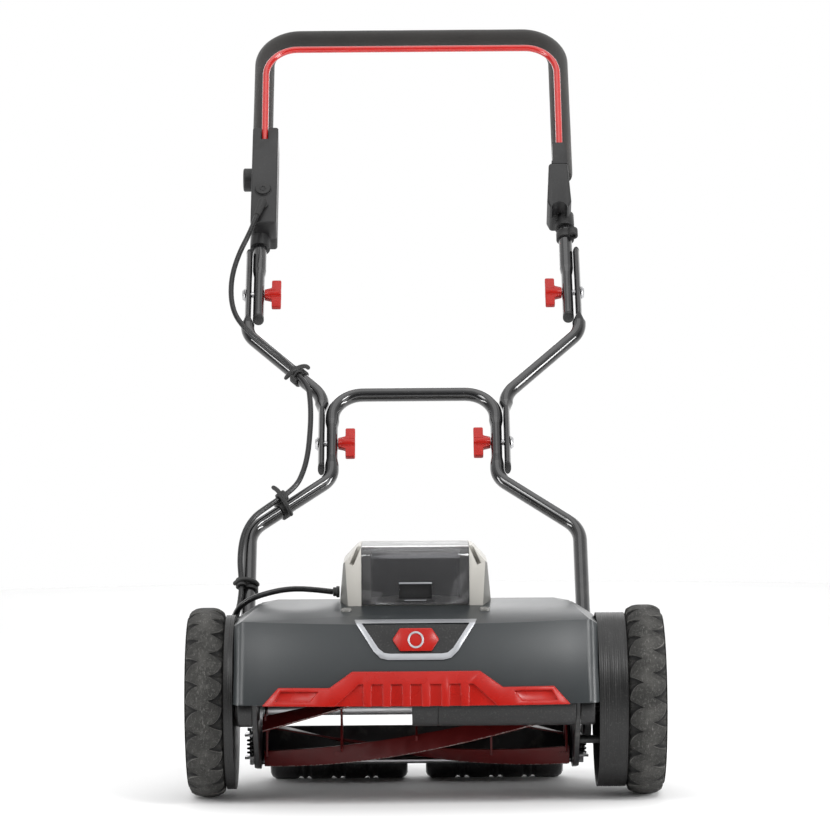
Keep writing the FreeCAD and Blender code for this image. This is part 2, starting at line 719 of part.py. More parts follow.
def battery():
    """The housing, its lid with a finger pocket, the pack and the cable's gland."""
    front_view = [(-92, 200), (92, 200), (92, 240), (88, 282), (72, 300), (58, 310), (-58, 310), (-72, 300),
                  (-88, 282), (-92, 240)]
    ends = plate("housing_front_view", "XZ", front_view, 300, 0, 200)
    whole = common("housing_whole", [housing_form("housing_form", 0, 100, 200), ends])
    seat_end, seat_gap, swing_radius = 92.8, 0.3, 4.6
    bay = fuse("battery_bay", [box("bay_front", 108, seat_end + 30, 80, -54, -30, "housing_floor"),
                               box("bay_rear", 108, 60, 50, -54, 56, "housing_floor"),
                               box("pocket_room", 48, 30, 20, -24, -18, 234)])
    seat = cut("lid_seat", housing_form("lid_seat_outer", -1, "lid_half_width + %s" % seat_gap, seat_end),
               [housing_form("lid_seat_inner", "lid_thickness + %s" % seat_gap, 80, 200)])
    swing = rod("lid_swing_room", swing_radius, "2 * lid_half_width + %s" % (2 * seat_gap),
                "-lid_half_width - %s" % seat_gap, "lid_pin_y", "lid_pin_z")
    pins = rod("lid_pin_bore", 1.6, "2 * lid_half_width + 8", "-lid_half_width - 4", "lid_pin_y",
               "lid_pin_z")
    slot = plate("corner_slot", "XZ", [(75.7, 280), (80.3, 282), (67.6, 309.8), (63, 307.8)], 50, 0, 32)
    facet = plate("corner_facet", "XY", [(80, -10), (110, -10), (110, 70)], 130, 0, 0, 190)
    corners = [slot, mirror_across("other_slot", slot), facet, mirror_across("other_facet", facet)]
    below = cover_form("cover_under_housing", 0, size("cover_bottom"))
    node(cut("housing", whole, [bay, seat, swing, pins, below] + corners), "battery_housing")

    shell = cut("lid_shell", housing_form("lid_outer", 0, "lid_half_width", 92),
                [housing_form("lid_inner", "lid_thickness", 80, 200),
                 box("lid_bottom", 200, 80, 60, -100, -40, 172.5)])
    pocket = common("lid_pocket", [box("pocket_form", 46, 10, 25, -23, 0, 236),
                                   housing_form("pocket_limit", 0.5, 80, 200)])
    hollow = box("pocket_hollow", 40, 17, 19, -20, -10, 239)
    stubs = rod("lid_stub", 1.5, "2 * lid_half_width + 7", "-lid_half_width - 3.5", "lid_pin_y",
                "lid_pin_z")
    middle = box("lid_stub_gap", 100, 10, 10, -50, 85, 292)
    ends = cut("lid_stubs", stubs, [middle])
    node(cut("lid", fuse("lid_forms", [shell, pocket, ends]), [hollow]), "battery_lid")

    pack = box("pack_form", 100, 96, 46, -50, 14, "housing_floor")
    node(round_edges("pack", pack, 4, lambda edge: edge.BoundBox.ZMin > size("housing_floor") + 1),
         "battery_pack")
    gland_y, gland_z = 32, 246
    gland = fuse("gland", [rod("gland_flange", 7, 4, -97, gland_y, gland_z),
                           rod("gland_neck", 5.5, 6, -101, gland_y, gland_z)])
    trimmed = cut("gland_trimmed", gland, [rod("gland_bore", "cable_radius", 12, -102, gland_y, gland_z),
                                           cover_form("cover_under_gland", -0.2, size("cover_bottom"))])
    node(trimmed, "cable_gland")


# ---------------------------------------------------------------- handle tubes

MIDDLE_FOOT, MIDDLE_HEAD, UPPER_FOOT = 362, 729, 618


def lower_tube_half(inset):
    """The right half of the lower loop, from the leg's foot to the middle of the crossbar."""
    leg, waist = size("leg_half_span"), size("waist_half_span")
    joint, bar = size("lower_joint"), size("crossbar_station")
    radius = size("tube_radius") - inset
    flat_half_length, blend = 26, 10
    low, high = joint - flat_half_length, joint + flat_half_length
    foot = 44
    lower_path = bent_path([point(leg, foot), point(leg, 260), point(waist, 344),
                            point(waist, low - blend)], [40, 30])
    upper_path = bent_path([point(waist, high + blend), point(waist, bar), point(0, bar)], [40])
    return [swept(lower_path, radius), transition("inner", waist, low, low - blend, inset),
            flattened("inner", waist, low, high, inset),
            transition("inner", waist, high, high + blend, inset), swept(upper_path, radius)]


def middle_tube(inset):
    """The right middle tube, flattened at both of its ends."""
    low_x = size("waist_half_span") + size("joint_offset")
    high_x = size("top_half_span") + size("joint_offset")
    radius = size("tube_radius") - inset
    path = bent_path([point(low_x, 468), point(low_x, 483), point(high_x, 590), point(high_x, 606)],
                     [36, 36])
    return [flattened("outer", low_x, MIDDLE_FOOT, 456, inset), transition("outer", low_x, 456, 468, inset),
            swept(path, radius), transition("outer", high_x, 616, 606, inset),
            flattened("outer", high_x, 616, MIDDLE_HEAD, inset)]


def upper_tube_half(inset):
    x, top = size("top_half_span"), size("top_bar_station")
    radius = size("tube_radius") - inset
    path = bent_path([point(x, 702), point(x, top), point(0, top)], [50])
    return [flattened("inner", x, UPPER_FOOT, 690, inset), transition("inner", x, 690, 702, inset),
            swept(path, radius)]


def whole_loop(half):
    return fused(half + [mirrored(shape) for shape in half])


def handle_tubes():
    wall = size("tube_wall")
    waist, top = size("waist_half_span"), size("top_half_span")
    lower_joint, upper_joint = size("lower_joint"), size("upper_joint")
    outside, inside = whole_loop(lower_tube_half(0)), whole_loop(lower_tube_half(wall))
    shape = outside.cut(inside)
    for x in (waist, -waist):
        shape = drilled(shape, x, lower_joint)
    node(tilt(solid("lower_loop", shape)), "lower_handle")

    tube = fused(middle_tube(0)).cut(fused(middle_tube(wall)))
    tube = drilled(tube, waist + size("joint_offset"), lower_joint)
    tube = drilled(tube, top + size("joint_offset"), upper_joint)
    node(tilt(solid("middle_pair", Part.makeCompound([tube, mirrored(tube)]))), "middle_tubes")

    shape = whole_loop(upper_tube_half(0)).cut(whole_loop(upper_tube_half(wall)))
    for x in (top, -top):
        shape = drilled(shape, x, upper_joint)
    node(tilt(solid("upper_loop", shape)), "upper_tube")


def end_plug(kind, x, end, outward):
    """A rubber cap on a flattened tube's end, with a plug that fills the tube's mouth."""
    cap, plug = 3.2, 8
    head = flattened(kind, x, min(end, end + outward * cap), max(end, end + outward * cap), 0)
    inner = flattened(kind, x, min(end, end - outward * plug), max(end, end - outward * plug),
                      size("tube_wall"))
    return fused([head, inner])


def handle_brackets():
    """The blocks that hold the legs to the side plates."""
    outside = size("plate_inside") + size("plate_thickness")
    gap = size("leg_half_span") - size("tube_radius")
    block = Part.makeBox(gap + 3 - outside, 66, 22, point(outside, 50, -11))
    leg = Part.makeCylinder(size("tube_radius"), 120, point(size("leg_half_span"), 20), point(0, 1, 0))
    block = block.cut(leg)
    item = solid("leg_blocks", Part.makeCompound([block, mirrored(block)]))
    node(tilt(item), "handle_brackets")


def joint_bolt(inner_x, station):
    """A carriage bolt through both tubes of a joint."""
    head_gap, knob_depth, into_head = 0.4, 12, 1
    outer_face = inner_x + size("joint_offset") + size("outer_half_width") + head_gap
    tip = inner_x - size("inner_half_width") - knob_depth
    axis = point(1, 0)
    shank = Part.makeCylinder(size("bolt_radius"), outer_face + into_head - tip, point(tip, station), axis)
    head = Part.makeCone(9, 6, 3.5, point(outer_face, station), axis)
    return fused([shank, head])


def wing_knob(inner_x, station):
    """A wing knob: a slab with two wings, widened towards the tube, over a round core."""
    gap, length, core_radius, thickness, bore_depth = 0.4, 22, 7, 7, 12.5
    wing_start, wing_reach, foot_reach, shoulder_reach = 9.5, 23, 7, 9.5
    face = inner_x - size("inner_half_width") - gap
    core = Part.makeCylinder(core_radius, length, point(face, station), point(-1, 0, 0))
    half = [(0, foot_reach), (wing_start - 1, shoulder_reach), (wing_start, shoulder_reach + 1.5),
            (wing_start, wing_reach), (length, wing_reach)]
    corners = [point(face - along, station + reach) for along, reach in half]
    corners += [point(face - along, station - reach) for along, reach in reversed(half)]
    slab = Part.Face(Part.makePolygon(corners + corners[:1])).extrude(point(0, 0, thickness))
    slab.translate(point(0, 0, -thickness / 2))
    tips = [edge for edge in slab.Edges
            if abs(edge.tangentAt(edge.FirstParameter).z) > 0.9
            and abs(edge.BoundBox.Center.y - station) > wing_reach - 1]
    knob = fused([core, slab.makeFillet(2, tips)])
    bore = Part.makeCylinder(size("bolt_radius") + 0.05, bore_depth, point(face, station), point(-1, 0, 0))
    return knob.cut(bore)


def joints_of_handle():
    for level, inner_x, station in (("lower", size("waist_half_span"), size("lower_joint")),
                                    ("upper", size("top_half_span"), size("upper_joint"))):
        bolt = joint_bolt(inner_x, station)
        item = solid(level + "_bolt_pair", Part.makeCompound([bolt, mirrored(bolt)]))
        node(tilt(item), level + "_bolts")
        knob = wing_knob(inner_x, station)
        for side, sign in SIDES:
            shape = knob if sign > 0 else mirrored(knob)
            node(tilt(solid("%s_%s_knob" % (level, side), shape)), "knob_%s_%s" % (level, side))


# ---------------------------------------------------------------- grip, switch box and bail

def grip_path():
    x, top = size("top_half_span"), size("top_bar_station")
    return bent_path([point(-x, size("grip_left_end")), point(-x, top), point(x, top),
                      point(x, size("grip_right_end"))], [50, 50])


def grip():
    path = grip_path()
    sleeve = swept(path, size("grip_radius")).cut(swept(path, size("tube_radius")))
    node(tilt(solid("sleeve", sleeve)), "foam_grip")


def tube_hole(x, low, high):
    return Part.makeCylinder(size("tube_radius"), high - low, point(x, low), point(0, 1, 0))


def bail_slot(x):
    """Room for the bail's leg to swing in, and the bearing holes for its pivot."""
    width, back, front, below, pivot_length = 11, 12, 32, 15, 18
    station = size("bail_station")
    slot = Part.makeBox(width, 85, front - back, point(x - width / 2, station - below, back))
    start = point(x - pivot_length / 2, station, size("bail_lift"))
    return slot.fuse(Part.makeCylinder(2.6, pivot_length, start, point(1, 0, 0)))


def rounded_block(corners, back, front, radius):
    """A block with the given front outline and softened edges."""
    places = [point(x, y, back) for x, y in corners]
    block = Part.Face(Part.makePolygon(places + places[:1])).extrude(point(0, 0, front - back))
    upright = [edge for edge in block.Edges if abs(edge.tangentAt(edge.FirstParameter).z) > 0.9]
    block = block.makeFillet(radius, upright)
    rims = [edge for edge in block.Edges if edge.BoundBox.ZLength < 0.01]
    return block.makeFillet(radius * 0.6, rims)


def switch_box():
    """The box on the left tube in two halves, its lock button and the cable's entry."""
    x, back, front = -size("top_half_span"), -22, 34
    left, right, bottom, top = -219, -184, 760, 940
    block = rounded_block([(left, bottom), (right, bottom), (right, top), (left, top)], back, front, 4)
    slope_start, slope_fall = 894, 4
    wedge = Part.makePolygon([point(left - 1, slope_start, front), point(left - 1, top, front - slope_fall),
                              point(left - 1, top, front + 1), point(left - 1, slope_start, front + 1),
                              point(left - 1, slope_start, front)])
    block = block.cut(Part.Face(wedge).extrude(point(right - left + 2, 0)))
    collar_length, collar_radius = 19, 13.5
    collar = Part.makeCylinder(collar_radius, collar_length, point(x, bottom - 18), point(0, 1, 0))
    cavity = Part.makeBox(26, 70, 44, point(-216, 776, -16))
    post = Part.makeCylinder(12, 70, point(x, 776), point(0, 1, 0))
    button_lift, pocket_depth = 4, 5
    pocket = Part.makeCylinder(size("button_radius") + 0.4, pocket_depth + 1,
                               point(left - 1, size("button_station"), button_lift), point(1, 0, 0))
    tools = [cavity.cut(post), pocket, bail_slot(-size("bail_half_span"))]
    whole = block.cut(tools).fuse(collar).cut(tube_hole(x, 730, 970))
    wide = 200
    front_space = Part.makeBox(wide, 400, 100, point(-300, 650, 0))
    rear_space = Part.makeBox(wide, 400, 100, point(-300, 650, -100))
    node(tilt(solid("box_front", whole.common(front_space))), "switch_box_front")
    node(tilt(solid("box_rear", whole.common(rear_space))), "switch_box_rear")

    button_start, button_length = left - 0.2, 12.3
    disc = Part.makeCylinder(size("button_radius"), button_length,
                             point(button_start, size("button_station"), button_lift), point(-1, 0, 0))
    crown = [edge for edge in disc.Edges if edge.BoundBox.XMax < button_start - button_length + 0.1]
    node(tilt(solid("button", disc.makeFillet(2.5, crown))), "lock_button")

    plug = Part.makeCylinder(10, 2.5, point(-203, 821, front), point(0, 0, 1))
    ring = Part.makeCylinder(7.5, 3.5, point(-203, 792, front), point(0, 0, 1))
    boot_start, boot_end = point(-203, 794, front + 4), point(*UPPER_ROUTE[0])
    boot_radius, mouth_radius = 6, 4.2
    knuckle = Part.makeSphere(boot_radius, boot_start)
    sleeve = Part.makeCone(boot_radius, mouth_radius, (boot_end - boot_start).Length, boot_start,
                           boot_end - boot_start)
    fittings = [plug, fused([ring, knuckle, sleeve]).cut(block)]
    node(tilt(solid("fittings", Part.makeCompound(fittings))), "switch_fittings")


def bail_bracket():
    """The block on the right tube that carries the bail's other leg."""
    x, back, front = size("top_half_span"), -16, 34
    bottom, top, tower_back = 784, 866, 14.4
    block = rounded_block([(187, bottom), (211, bottom), (215.5, 796), (212.5, top), (186.5, top),
                           (182.5, 796)], back, front, 5)
    flange = Part.makeBox(21, 4, front - 1 + 6, point(190.5, top + 1, -6))
    neck = Part.makeBox(17, 3, front - 2 + 4, point(192.5, top - 1, -4))
    sides = [point(192, top), point(212, top), point(212, 888), point(208.5, 905), point(192.5, 905)]
    tower = Part.Face(Part.makePolygon(sides + sides[:1])).extrude(point(0, 0, front - 1 - tower_back))
    tower.translate(point(0, 0, tower_back))
    collar = Part.makeCylinder(13, 24, point(x, 774), point(0, 1, 0))
    mouth = Part.makeCylinder(10, front, point(199, bottom, 9.5), point(0, 0, 1))
    whole = fused([block, flange, neck, tower]).cut(mouth).fuse(collar).removeSplitter()
    grip_start = point(x, size("grip_right_end") - 0.5)
    grip_room = Part.makeCylinder(size("grip_radius"), 40, grip_start, point(0, 1, 0))
    whole = whole.cut([bail_slot(size("bail_half_span")), tube_hole(x, 764, 900), grip_room])
    node(tilt(solid("bracket", whole)), "bail_bracket")


def bail():
    x, station, lift = size("bail_half_span"), size("bail_station"), size("bail_lift")
    angle = math.radians(size("bail_rest_angle"))
    reach = point(0, math.cos(angle), math.sin(angle)) * size("bail_reach")
    feet = [point(-x, station, lift), point(x, station, lift)]
    path = bent_path([feet[0], feet[0] + reach, feet[1] + reach, feet[1]], [44, 44])
    forms = [swept(path, size("bail_radius"))]
    for radius, length in ((5.1, 10), (2.5, 16.5)):
        for foot in feet:
            forms.append(Part.makeCylinder(radius, length, foot - point(length / 2, 0), point(1, 0, 0)))
    node(tilt(solid("bail_rod", fused(forms))), "safety_bail")


# ---------------------------------------------------------------- cable and its ties

def cable_radii(points):
    """Each bend as large as its two runs allow."""
    radii = []
    for before, corner, after in zip(points, points[1:], points[2:]):
        half_turn = (after - corner).getAngle(corner - before) / 2
        shorter = min((corner - before).Length, (after - corner).Length)
        radii.append(0.45 * shorter / math.tan(half_turn))
    return radii


def cable(label, points):
    radii = cable_radii(points)
    path = bent_path(points, radii)
    shape = swept(path, size("cable_radius"))
    expected = math.pi * size("cable_radius") ** 2 * path.Length
    print(label, "length %.0f" % path.Length, "volume ratio %.4f" % (shape.Volume / expected),
          "radii", [round(radius) for radius in radii])
    return node(solid(label + "_run", shape), label)


def to_machine(x, station, lift):
    """A place in the handle's plane, in the machine's own frame."""
    slope = math.radians(size("handle_slope"))
    return point(x, size("handle_root_y") + station * math.cos(slope) - lift * math.sin(slope),
                 size("handle_root_z") + station * math.sin(slope) + lift * math.cos(slope))


UPPER_ROUTE = [(-210, 767, 40), (-218, 741, 37), (-233, 708, 30), (-242, 674, 24), (-243, 640, 21),
               (-238, 612, 19), (-227, 591, 18), (-211, 572, 17), (-192, 553, 16), (-171, 533, 15)]
MIDDLE_ROUTE = [(-138, 488, 16), (-135, 460, 17), (-134, 431, 18), (-135, 402, 18), (-137, 373, 17),
                (-142, 345, 16), (-152, 318, 15)]
LOWER_ROUTE = [(-187, 288, 15), (-204, 272, 16), (-215, 250, 17), (-220, 226, 16), (-221, 200, 14),
               (-219, 178, 12), (-218, 158, 11)]
COVER_ROUTE = [(-220, 124, 222), (-224, 106, 208), (-225.5, 84, 207), (-224, 62, 214), (-217, 45, 227),
               (-202, 36, 238), (-182, 31, 245), (-158, 30, 250), (-131, 31, 250), (-101, 32, 246)]


def halfway(first, second):
    return (first + second) * 0.5


def cables():
    """One cable from the switch box to the housing, divided where ties hold it beside the folds."""
    upper = [to_machine(*place) for place in UPPER_ROUTE]
    middle = [to_machine(*place) for place in MIDDLE_ROUTE]
    lower = [to_machine(*place) for place in LOWER_ROUTE] + [point(*place) for place in COVER_ROUTE]
    first_tie = halfway(upper[-1], middle[0])
    second_tie = halfway(middle[-1], lower[0])
    cable("cable_upper", upper + [first_tie])
    cable("cable_middle", [first_tie] + middle + [second_tie])
    cable("cable_lower", [second_tie] + lower)


def cable_tie(tube_place, tube_direction, cable_place, cable_direction):
    """A rubber tie: a large loop on the tube and a small one on the cable."""
    width, thickness = 11, 3
    loops, holes = [], []
    for place, direction, radius in ((tube_place, tube_direction, size("tube_radius")),
                                     (cable_place, cable_direction, size("cable_radius") + 0.5)):
        start = place - direction * (width / 2)
        loops.append(Part.makeCylinder(radius + thickness, width, start, direction))
        holes.append(Part.makeCylinder(radius, 2 * width, place - direction * width, direction))
    return fused(loops).cut(holes)


def rubber_pieces():
    wall_x = size("waist_half_span") + size("joint_offset")
    high_x = size("top_half_span") + size("joint_offset")
    first, second = point(*UPPER_ROUTE[-1]), point(*MIDDLE_ROUTE[0])
    rise = point(-(high_x - wall_x), 590 - 483).normalize()
    tie = cable_tie(point(-150.5, 515.3), rise, halfway(first, second), (first - second).normalize())
    caps = []
    for x in (wall_x, -wall_x):
        caps.append(end_plug("outer", x, MIDDLE_FOOT, -1))
    for x in (high_x, -high_x):
        caps.append(end_plug("outer", x, MIDDLE_HEAD, 1))
    node(tilt(solid("middle_rubber", Part.makeCompound(caps + [tie]))), "middle_caps_and_tie")

    top = size("top_half_span")
    caps = [end_plug("inner", x, UPPER_FOOT, -1) for x in (top, -top)]
    spare = cable_tie(point(top, 760), point(0, 1), point(top + 10, 760, 8), point(0, 1))
    node(tilt(solid("upper_rubber", Part.makeCompound(caps + [spare]))), "upper_caps_and_clip")

    leg = size("leg_half_span")
    waist = size("waist_half_span")
    bend = point(-(leg - waist), -84).normalize()
    above, below = point(*MIDDLE_ROUTE[-1]), point(*LOWER_ROUTE[0])
    second_tie = cable_tie(point(-168, 293.8), bend, halfway(above, below), (above - below).normalize())
    before, after = point(*LOWER_ROUTE[-2]), point(*LOWER_ROUTE[-1])
    third_tie = cable_tie(point(-leg, 168), point(0, 1), halfway(before, after),
                          (before - after).normalize())
    node(tilt(solid("lower_ties", Part.makeCompound([second_tie, third_tie]))), "cable_ties")


# ---------------------------------------------------------------- the whole machine

def build():
    side_plates()
    wheel_axles()
    motor()
    drums()
    bed_knife()
    reel()
    belt()
    wheels()
    rollers()
    trim(cover())
    battery()
    handle_tubes()
    handle_brackets()
    joints_of_handle()
    grip()
    switch_box()
    bail_bracket()
    bail()
    cables()
    rubber_pieces()
    document.recompute()


def check():
    for item in document.Objects:
        broken = [state for state in item.State if state in ("Invalid", "Error")]
        if broken:
            raise RuntimeError("%s is %s" % (item.Name, broken))
    for item in nodes:
        if item.Shape.isNull() or not item.Shape.isValid() or not item.Shape.Solids:
            raise RuntimeError("%s has no valid solid" % item.Label)


def export():
    os.makedirs("parts", exist_ok=True)
    for item in nodes:
        item.Shape.exportStep(os.path.join("parts", item.Label + ".step"))
    print(len(nodes), "nodes written")


build()
check()
export()
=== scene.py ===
"""Looks of the battery reel mower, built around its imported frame.

Places are in the machine's own frame: X right as seen from the front, Y to the rear, Z up, with
the origin on the ground under the wheel axle. Lengths are written in millimetres and turned into
metres by mm() and at(). The handle has a frame of its own: x across, a station up the slope, and
a lift out of the slope's plane towards the front.
"""

import json
import math
import random

import bmesh
import bpy
from mathutils import Matrix, Vector


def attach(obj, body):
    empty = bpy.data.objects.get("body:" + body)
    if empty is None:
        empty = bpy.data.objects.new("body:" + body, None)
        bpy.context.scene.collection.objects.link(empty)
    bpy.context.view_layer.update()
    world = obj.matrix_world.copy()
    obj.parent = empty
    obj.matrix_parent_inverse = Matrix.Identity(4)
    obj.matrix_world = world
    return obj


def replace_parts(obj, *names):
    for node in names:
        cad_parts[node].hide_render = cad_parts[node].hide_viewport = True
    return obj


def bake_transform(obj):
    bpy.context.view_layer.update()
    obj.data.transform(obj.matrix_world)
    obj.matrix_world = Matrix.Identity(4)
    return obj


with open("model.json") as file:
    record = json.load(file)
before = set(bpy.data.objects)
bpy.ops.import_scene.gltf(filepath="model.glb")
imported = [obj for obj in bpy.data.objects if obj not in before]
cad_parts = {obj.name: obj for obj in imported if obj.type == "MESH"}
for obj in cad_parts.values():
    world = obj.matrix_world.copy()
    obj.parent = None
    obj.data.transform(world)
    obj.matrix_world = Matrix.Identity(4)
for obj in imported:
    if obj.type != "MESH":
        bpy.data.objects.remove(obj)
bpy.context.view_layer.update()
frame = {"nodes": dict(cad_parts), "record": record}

TURN = 2 * math.pi
HANDLE_SLOPE = math.radians(48)
HANDLE_ROOT = (38, 115)
AXLE_HEIGHT = 115
REEL_HEIGHT = 106
WHEEL_CENTRES = {"left": -254, "right": 277}


# ---------------------------------------------------------------- places and meshes

def mm(length):
    return length * 0.001


def at(x, y, z):
    """A place given in millimetres."""
    return Vector((mm(x), mm(y), mm(z)))


def on_handle(x, station, lift):
    """A place in the handle's plane."""
    across, up = math.cos(HANDLE_SLOPE), math.sin(HANDLE_SLOPE)
    return at(x, HANDLE_ROOT[0] + station * across - lift * up,
              HANDLE_ROOT[1] + station * up + lift * across)


def new_object(name, data):
    piece = bpy.data.objects.new(name, data)
    bpy.context.scene.collection.objects.link(piece)
    return piece


def smooth_by_angle(mesh, degrees=35):
    mesh.shade_smooth()
    mesh.set_sharp_from_angle(angle=math.radians(degrees))


def mesh_piece(name, points, faces, degrees=35):
    """A mesh object from points in metres and faces of point numbers."""
    mesh = bpy.data.meshes.new(name)
    mesh.from_pydata([tuple(place) for place in points], [], faces)
    mesh.update()
    smooth_by_angle(mesh, degrees)
    return new_object(name, mesh)


def joined(name, parts, degrees=35):
    """Several (points, faces) pairs as one mesh object."""
    points, faces = [], []
    for more_points, more_faces in parts:
        start = len(points)
        points += more_points
        faces += [[start + corner for corner in face] for face in more_faces]
    return mesh_piece(name, points, faces, degrees)


def with_modifiers(piece):
    """The piece with its modifiers made part of its mesh."""
    graph = bpy.context.evaluated_depsgraph_get()
    finished = bpy.data.meshes.new_from_object(piece.evaluated_get(graph))
    piece.modifiers.clear()
    piece.data = finished
    return piece


def bevelled(piece, width, degrees=32, segments=2):
    """The piece with its sharp edges rounded over, as a mould or a paint coat leaves them."""
    modifier = piece.modifiers.new("soft_edges", "BEVEL")
    modifier.width = mm(width)
    modifier.segments = segments
    modifier.limit_method = "ANGLE"
    modifier.angle_limit = math.radians(degrees)
    modifier.use_clamp_overlap = True
    with_modifiers(piece)
    smooth_by_angle(piece.data, 50)
    return piece


def ring_points(centre, first, second, radius, count):
    return [centre + first * (radius * math.cos(TURN * step / count))
            + second * (radius * math.sin(TURN * step / count)) for step in range(count)]


def frame_of(axis):
    """Two directions square to an axis."""
    axis = axis.normalized()
    helper = Vector((0, 0, 1)) if abs(axis.z) < 0.9 else Vector((1, 0, 0))
    first = axis.cross(helper).normalized()
    return first, axis.cross(first)


def lathe(centre, axis, profile, count=48, closed=False):
    """Points and faces of a turned shape; the profile is (along, radius) in millimetres."""
    axis = axis.normalized()
    first, second = frame_of(axis)
    points, faces = [], []
    for along, radius in profile:
        points += ring_points(centre + axis * mm(along), first, second, mm(radius), count)
    rings = len(profile)
    for ring in range(rings if closed else rings - 1):
        here, there = ring * count, (ring + 1) % rings * count
        for step in range(count):
            after = (step + 1) % count
            faces.append([here + step, here + after, there + after, there + step])
    if not closed:
        faces.append(list(range(count))[::-1])
        faces.append([(rings - 1) * count + step for step in range(count)])
    return points, faces


def block(low, high):
    """Points and faces of a box between two corners in millimetres."""
    corners = list(zip(low, high))
    points = [at(x, y, z) for x in corners[0] for y in corners[1] for z in corners[2]]
    faces = [[0, 1, 3, 2], [4, 6, 7, 5], [0, 4, 5, 1], [2, 3, 7, 6], [0, 2, 6, 4], [1, 5, 7, 3]]
    return points, faces


def swept_tube(path, radii):
    """A closed tube: a ring of points round each place of a path, with its radius in millimetres."""
    count = 32
    points, faces = [], []
    tangent = (path[1] - path[0]).normalized()
    first, second = frame_of(tangent)
    for index, place in enumerate(path):
        before, after = path[max(index - 1, 0)], path[min(index + 1, len(path) - 1)]
        tangent = (after - before).normalized()
        first = (first - tangent * first.dot(tangent)).normalized()
        second = tangent.cross(first)
        for step in range(count):
            angle = TURN * step / count
            points.append(place + first * mm(radii[index] * math.cos(angle))
                          + second * mm(radii[index] * math.sin(angle)))
    for ring in range(len(path) - 1):
        for step in range(count):
            after = (step + 1) % count
            faces.append([ring * count + step, ring * count + after,
                          (ring + 1) * count + after, (ring + 1) * count + step])
    faces.append(list(range(count))[::-1])
    faces.append([(len(path) - 1) * count + step for step in range(count)])
    return points, faces


# ---------------------------------------------------------------- materials

class Finish:
    """A material's nodes, in the short calls that the recipes below are written with."""

    def __init__(self, name):
        self.material = bpy.data.materials.new(name)
        self.material.use_nodes = True
        self.tree = self.material.node_tree
        self.shader = self.tree.nodes["Principled BSDF"]
        self.place = self.tree.nodes.new("ShaderNodeTexCoord").outputs["Object"]
        self.shape = None

    def new(self, kind, **inputs):
        made = self.tree.nodes.new(kind)
        for name, value in inputs.items():
            self.feed(made.inputs[name.replace("_", " ")], value)
        return made

    def feed(self, socket, value):
        if isinstance(value, bpy.types.NodeSocket):
            self.tree.links.new(value, socket)
        elif isinstance(value, tuple) and len(value) == 3 and socket.type == "RGBA":
            socket.default_value = (*value, 1)
        else:
            socket.default_value = value

    def stretched(self, x, y, z):
        scaled = self.new("ShaderNodeVectorMath")
        scaled.operation = "MULTIPLY"
        self.feed(scaled.inputs[0], self.place)
        scaled.inputs[1].default_value = (x, y, z)
        return scaled.outputs[0]

    def noise(self, size, detail=3, place=None, roughness=0.55):
        """Soft blotches of about this size in millimetres."""
        made = self.new("ShaderNodeTexNoise", Vector=place or self.place, Scale=1 / mm(size),
                        Detail=detail, Roughness=roughness)
        return made.outputs["Fac"]

    def cells(self, size):
        return self.new("ShaderNodeTexVoronoi", Vector=self.place, Scale=1 / mm(size)).outputs["Distance"]

    def math(self, operation, first, second=0.0):
        made = self.new("ShaderNodeMath")
        made.operation = operation
        self.feed(made.inputs[0], first)
        self.feed(made.inputs[1], second)
        return made.outputs[0]

    def part(self, source, axis):
        """One of a vector's three numbers."""
        return self.new("ShaderNodeSeparateXYZ", Vector=source).outputs[axis]

    def between(self, value, low, high, to_low=0.0, to_high=1.0):
        """The value's place between low and high, carried over to two other limits."""
        made = self.new("ShaderNodeMapRange", Value=value, From_Min=low, From_Max=high,
                        To_Min=to_low, To_Max=to_high)
        made.interpolation_type = "SMOOTHSTEP"
        return made.outputs[0]

    def mix(self, share, first, second):
        made = self.new("ShaderNodeMix")
        made.data_type = "RGBA"
        self.feed(made.inputs["Factor"], share)
        self.feed([i for i in made.inputs if i.name == "A" and i.type == "RGBA"][0], first)
        self.feed([i for i in made.inputs if i.name == "B" and i.type == "RGBA"][0], second)
        return [o for o in made.outputs if o.type == "RGBA"][0]

    def bump(self, height, strength, depth):
        """Adds relief of this depth in millimetres to what is already there."""
        made = self.new("ShaderNodeBump", Height=height, Strength=strength, Distance=mm(depth))
        if self.shape is not None:
            self.feed(made.inputs["Normal"], self.shape)
        self.shape = made.outputs["Normal"]

    def done(self, **values):
        for name, value in values.items():
            self.feed(self.shader.inputs[name.replace("_", " ")], value)
        if self.shape is not None:
            self.feed(self.shader.inputs["Normal"], self.shape)
        return self.material


def shade(colour, factor):
    return tuple(part * factor for part in colour)


def gloss_coat(name, colour, roughness=0.16, coat=0.7, dust=0.10):
    """Paint over steel: a faint orange peel, hand smears and a little settled dust."""
    f = Finish(name)
    smear = f.noise(38, 4)
    dusty = f.math("MULTIPLY", f.between(f.noise(16, 6), 0.5, 0.75), dust)
    tinted = f.mix(smear, shade(colour, 0.85), shade(colour, 1.15))
    f.bump(f.noise(1.6, 2), 0.12, 0.05)
    return f.done(Base_Color=f.mix(dusty, tinted, (0.20, 0.19, 0.17)),
                  Roughness=f.between(smear, 0.3, 0.7, roughness, roughness + 0.12),
                  Coat_Weight=coat, Coat_Roughness=0.08)


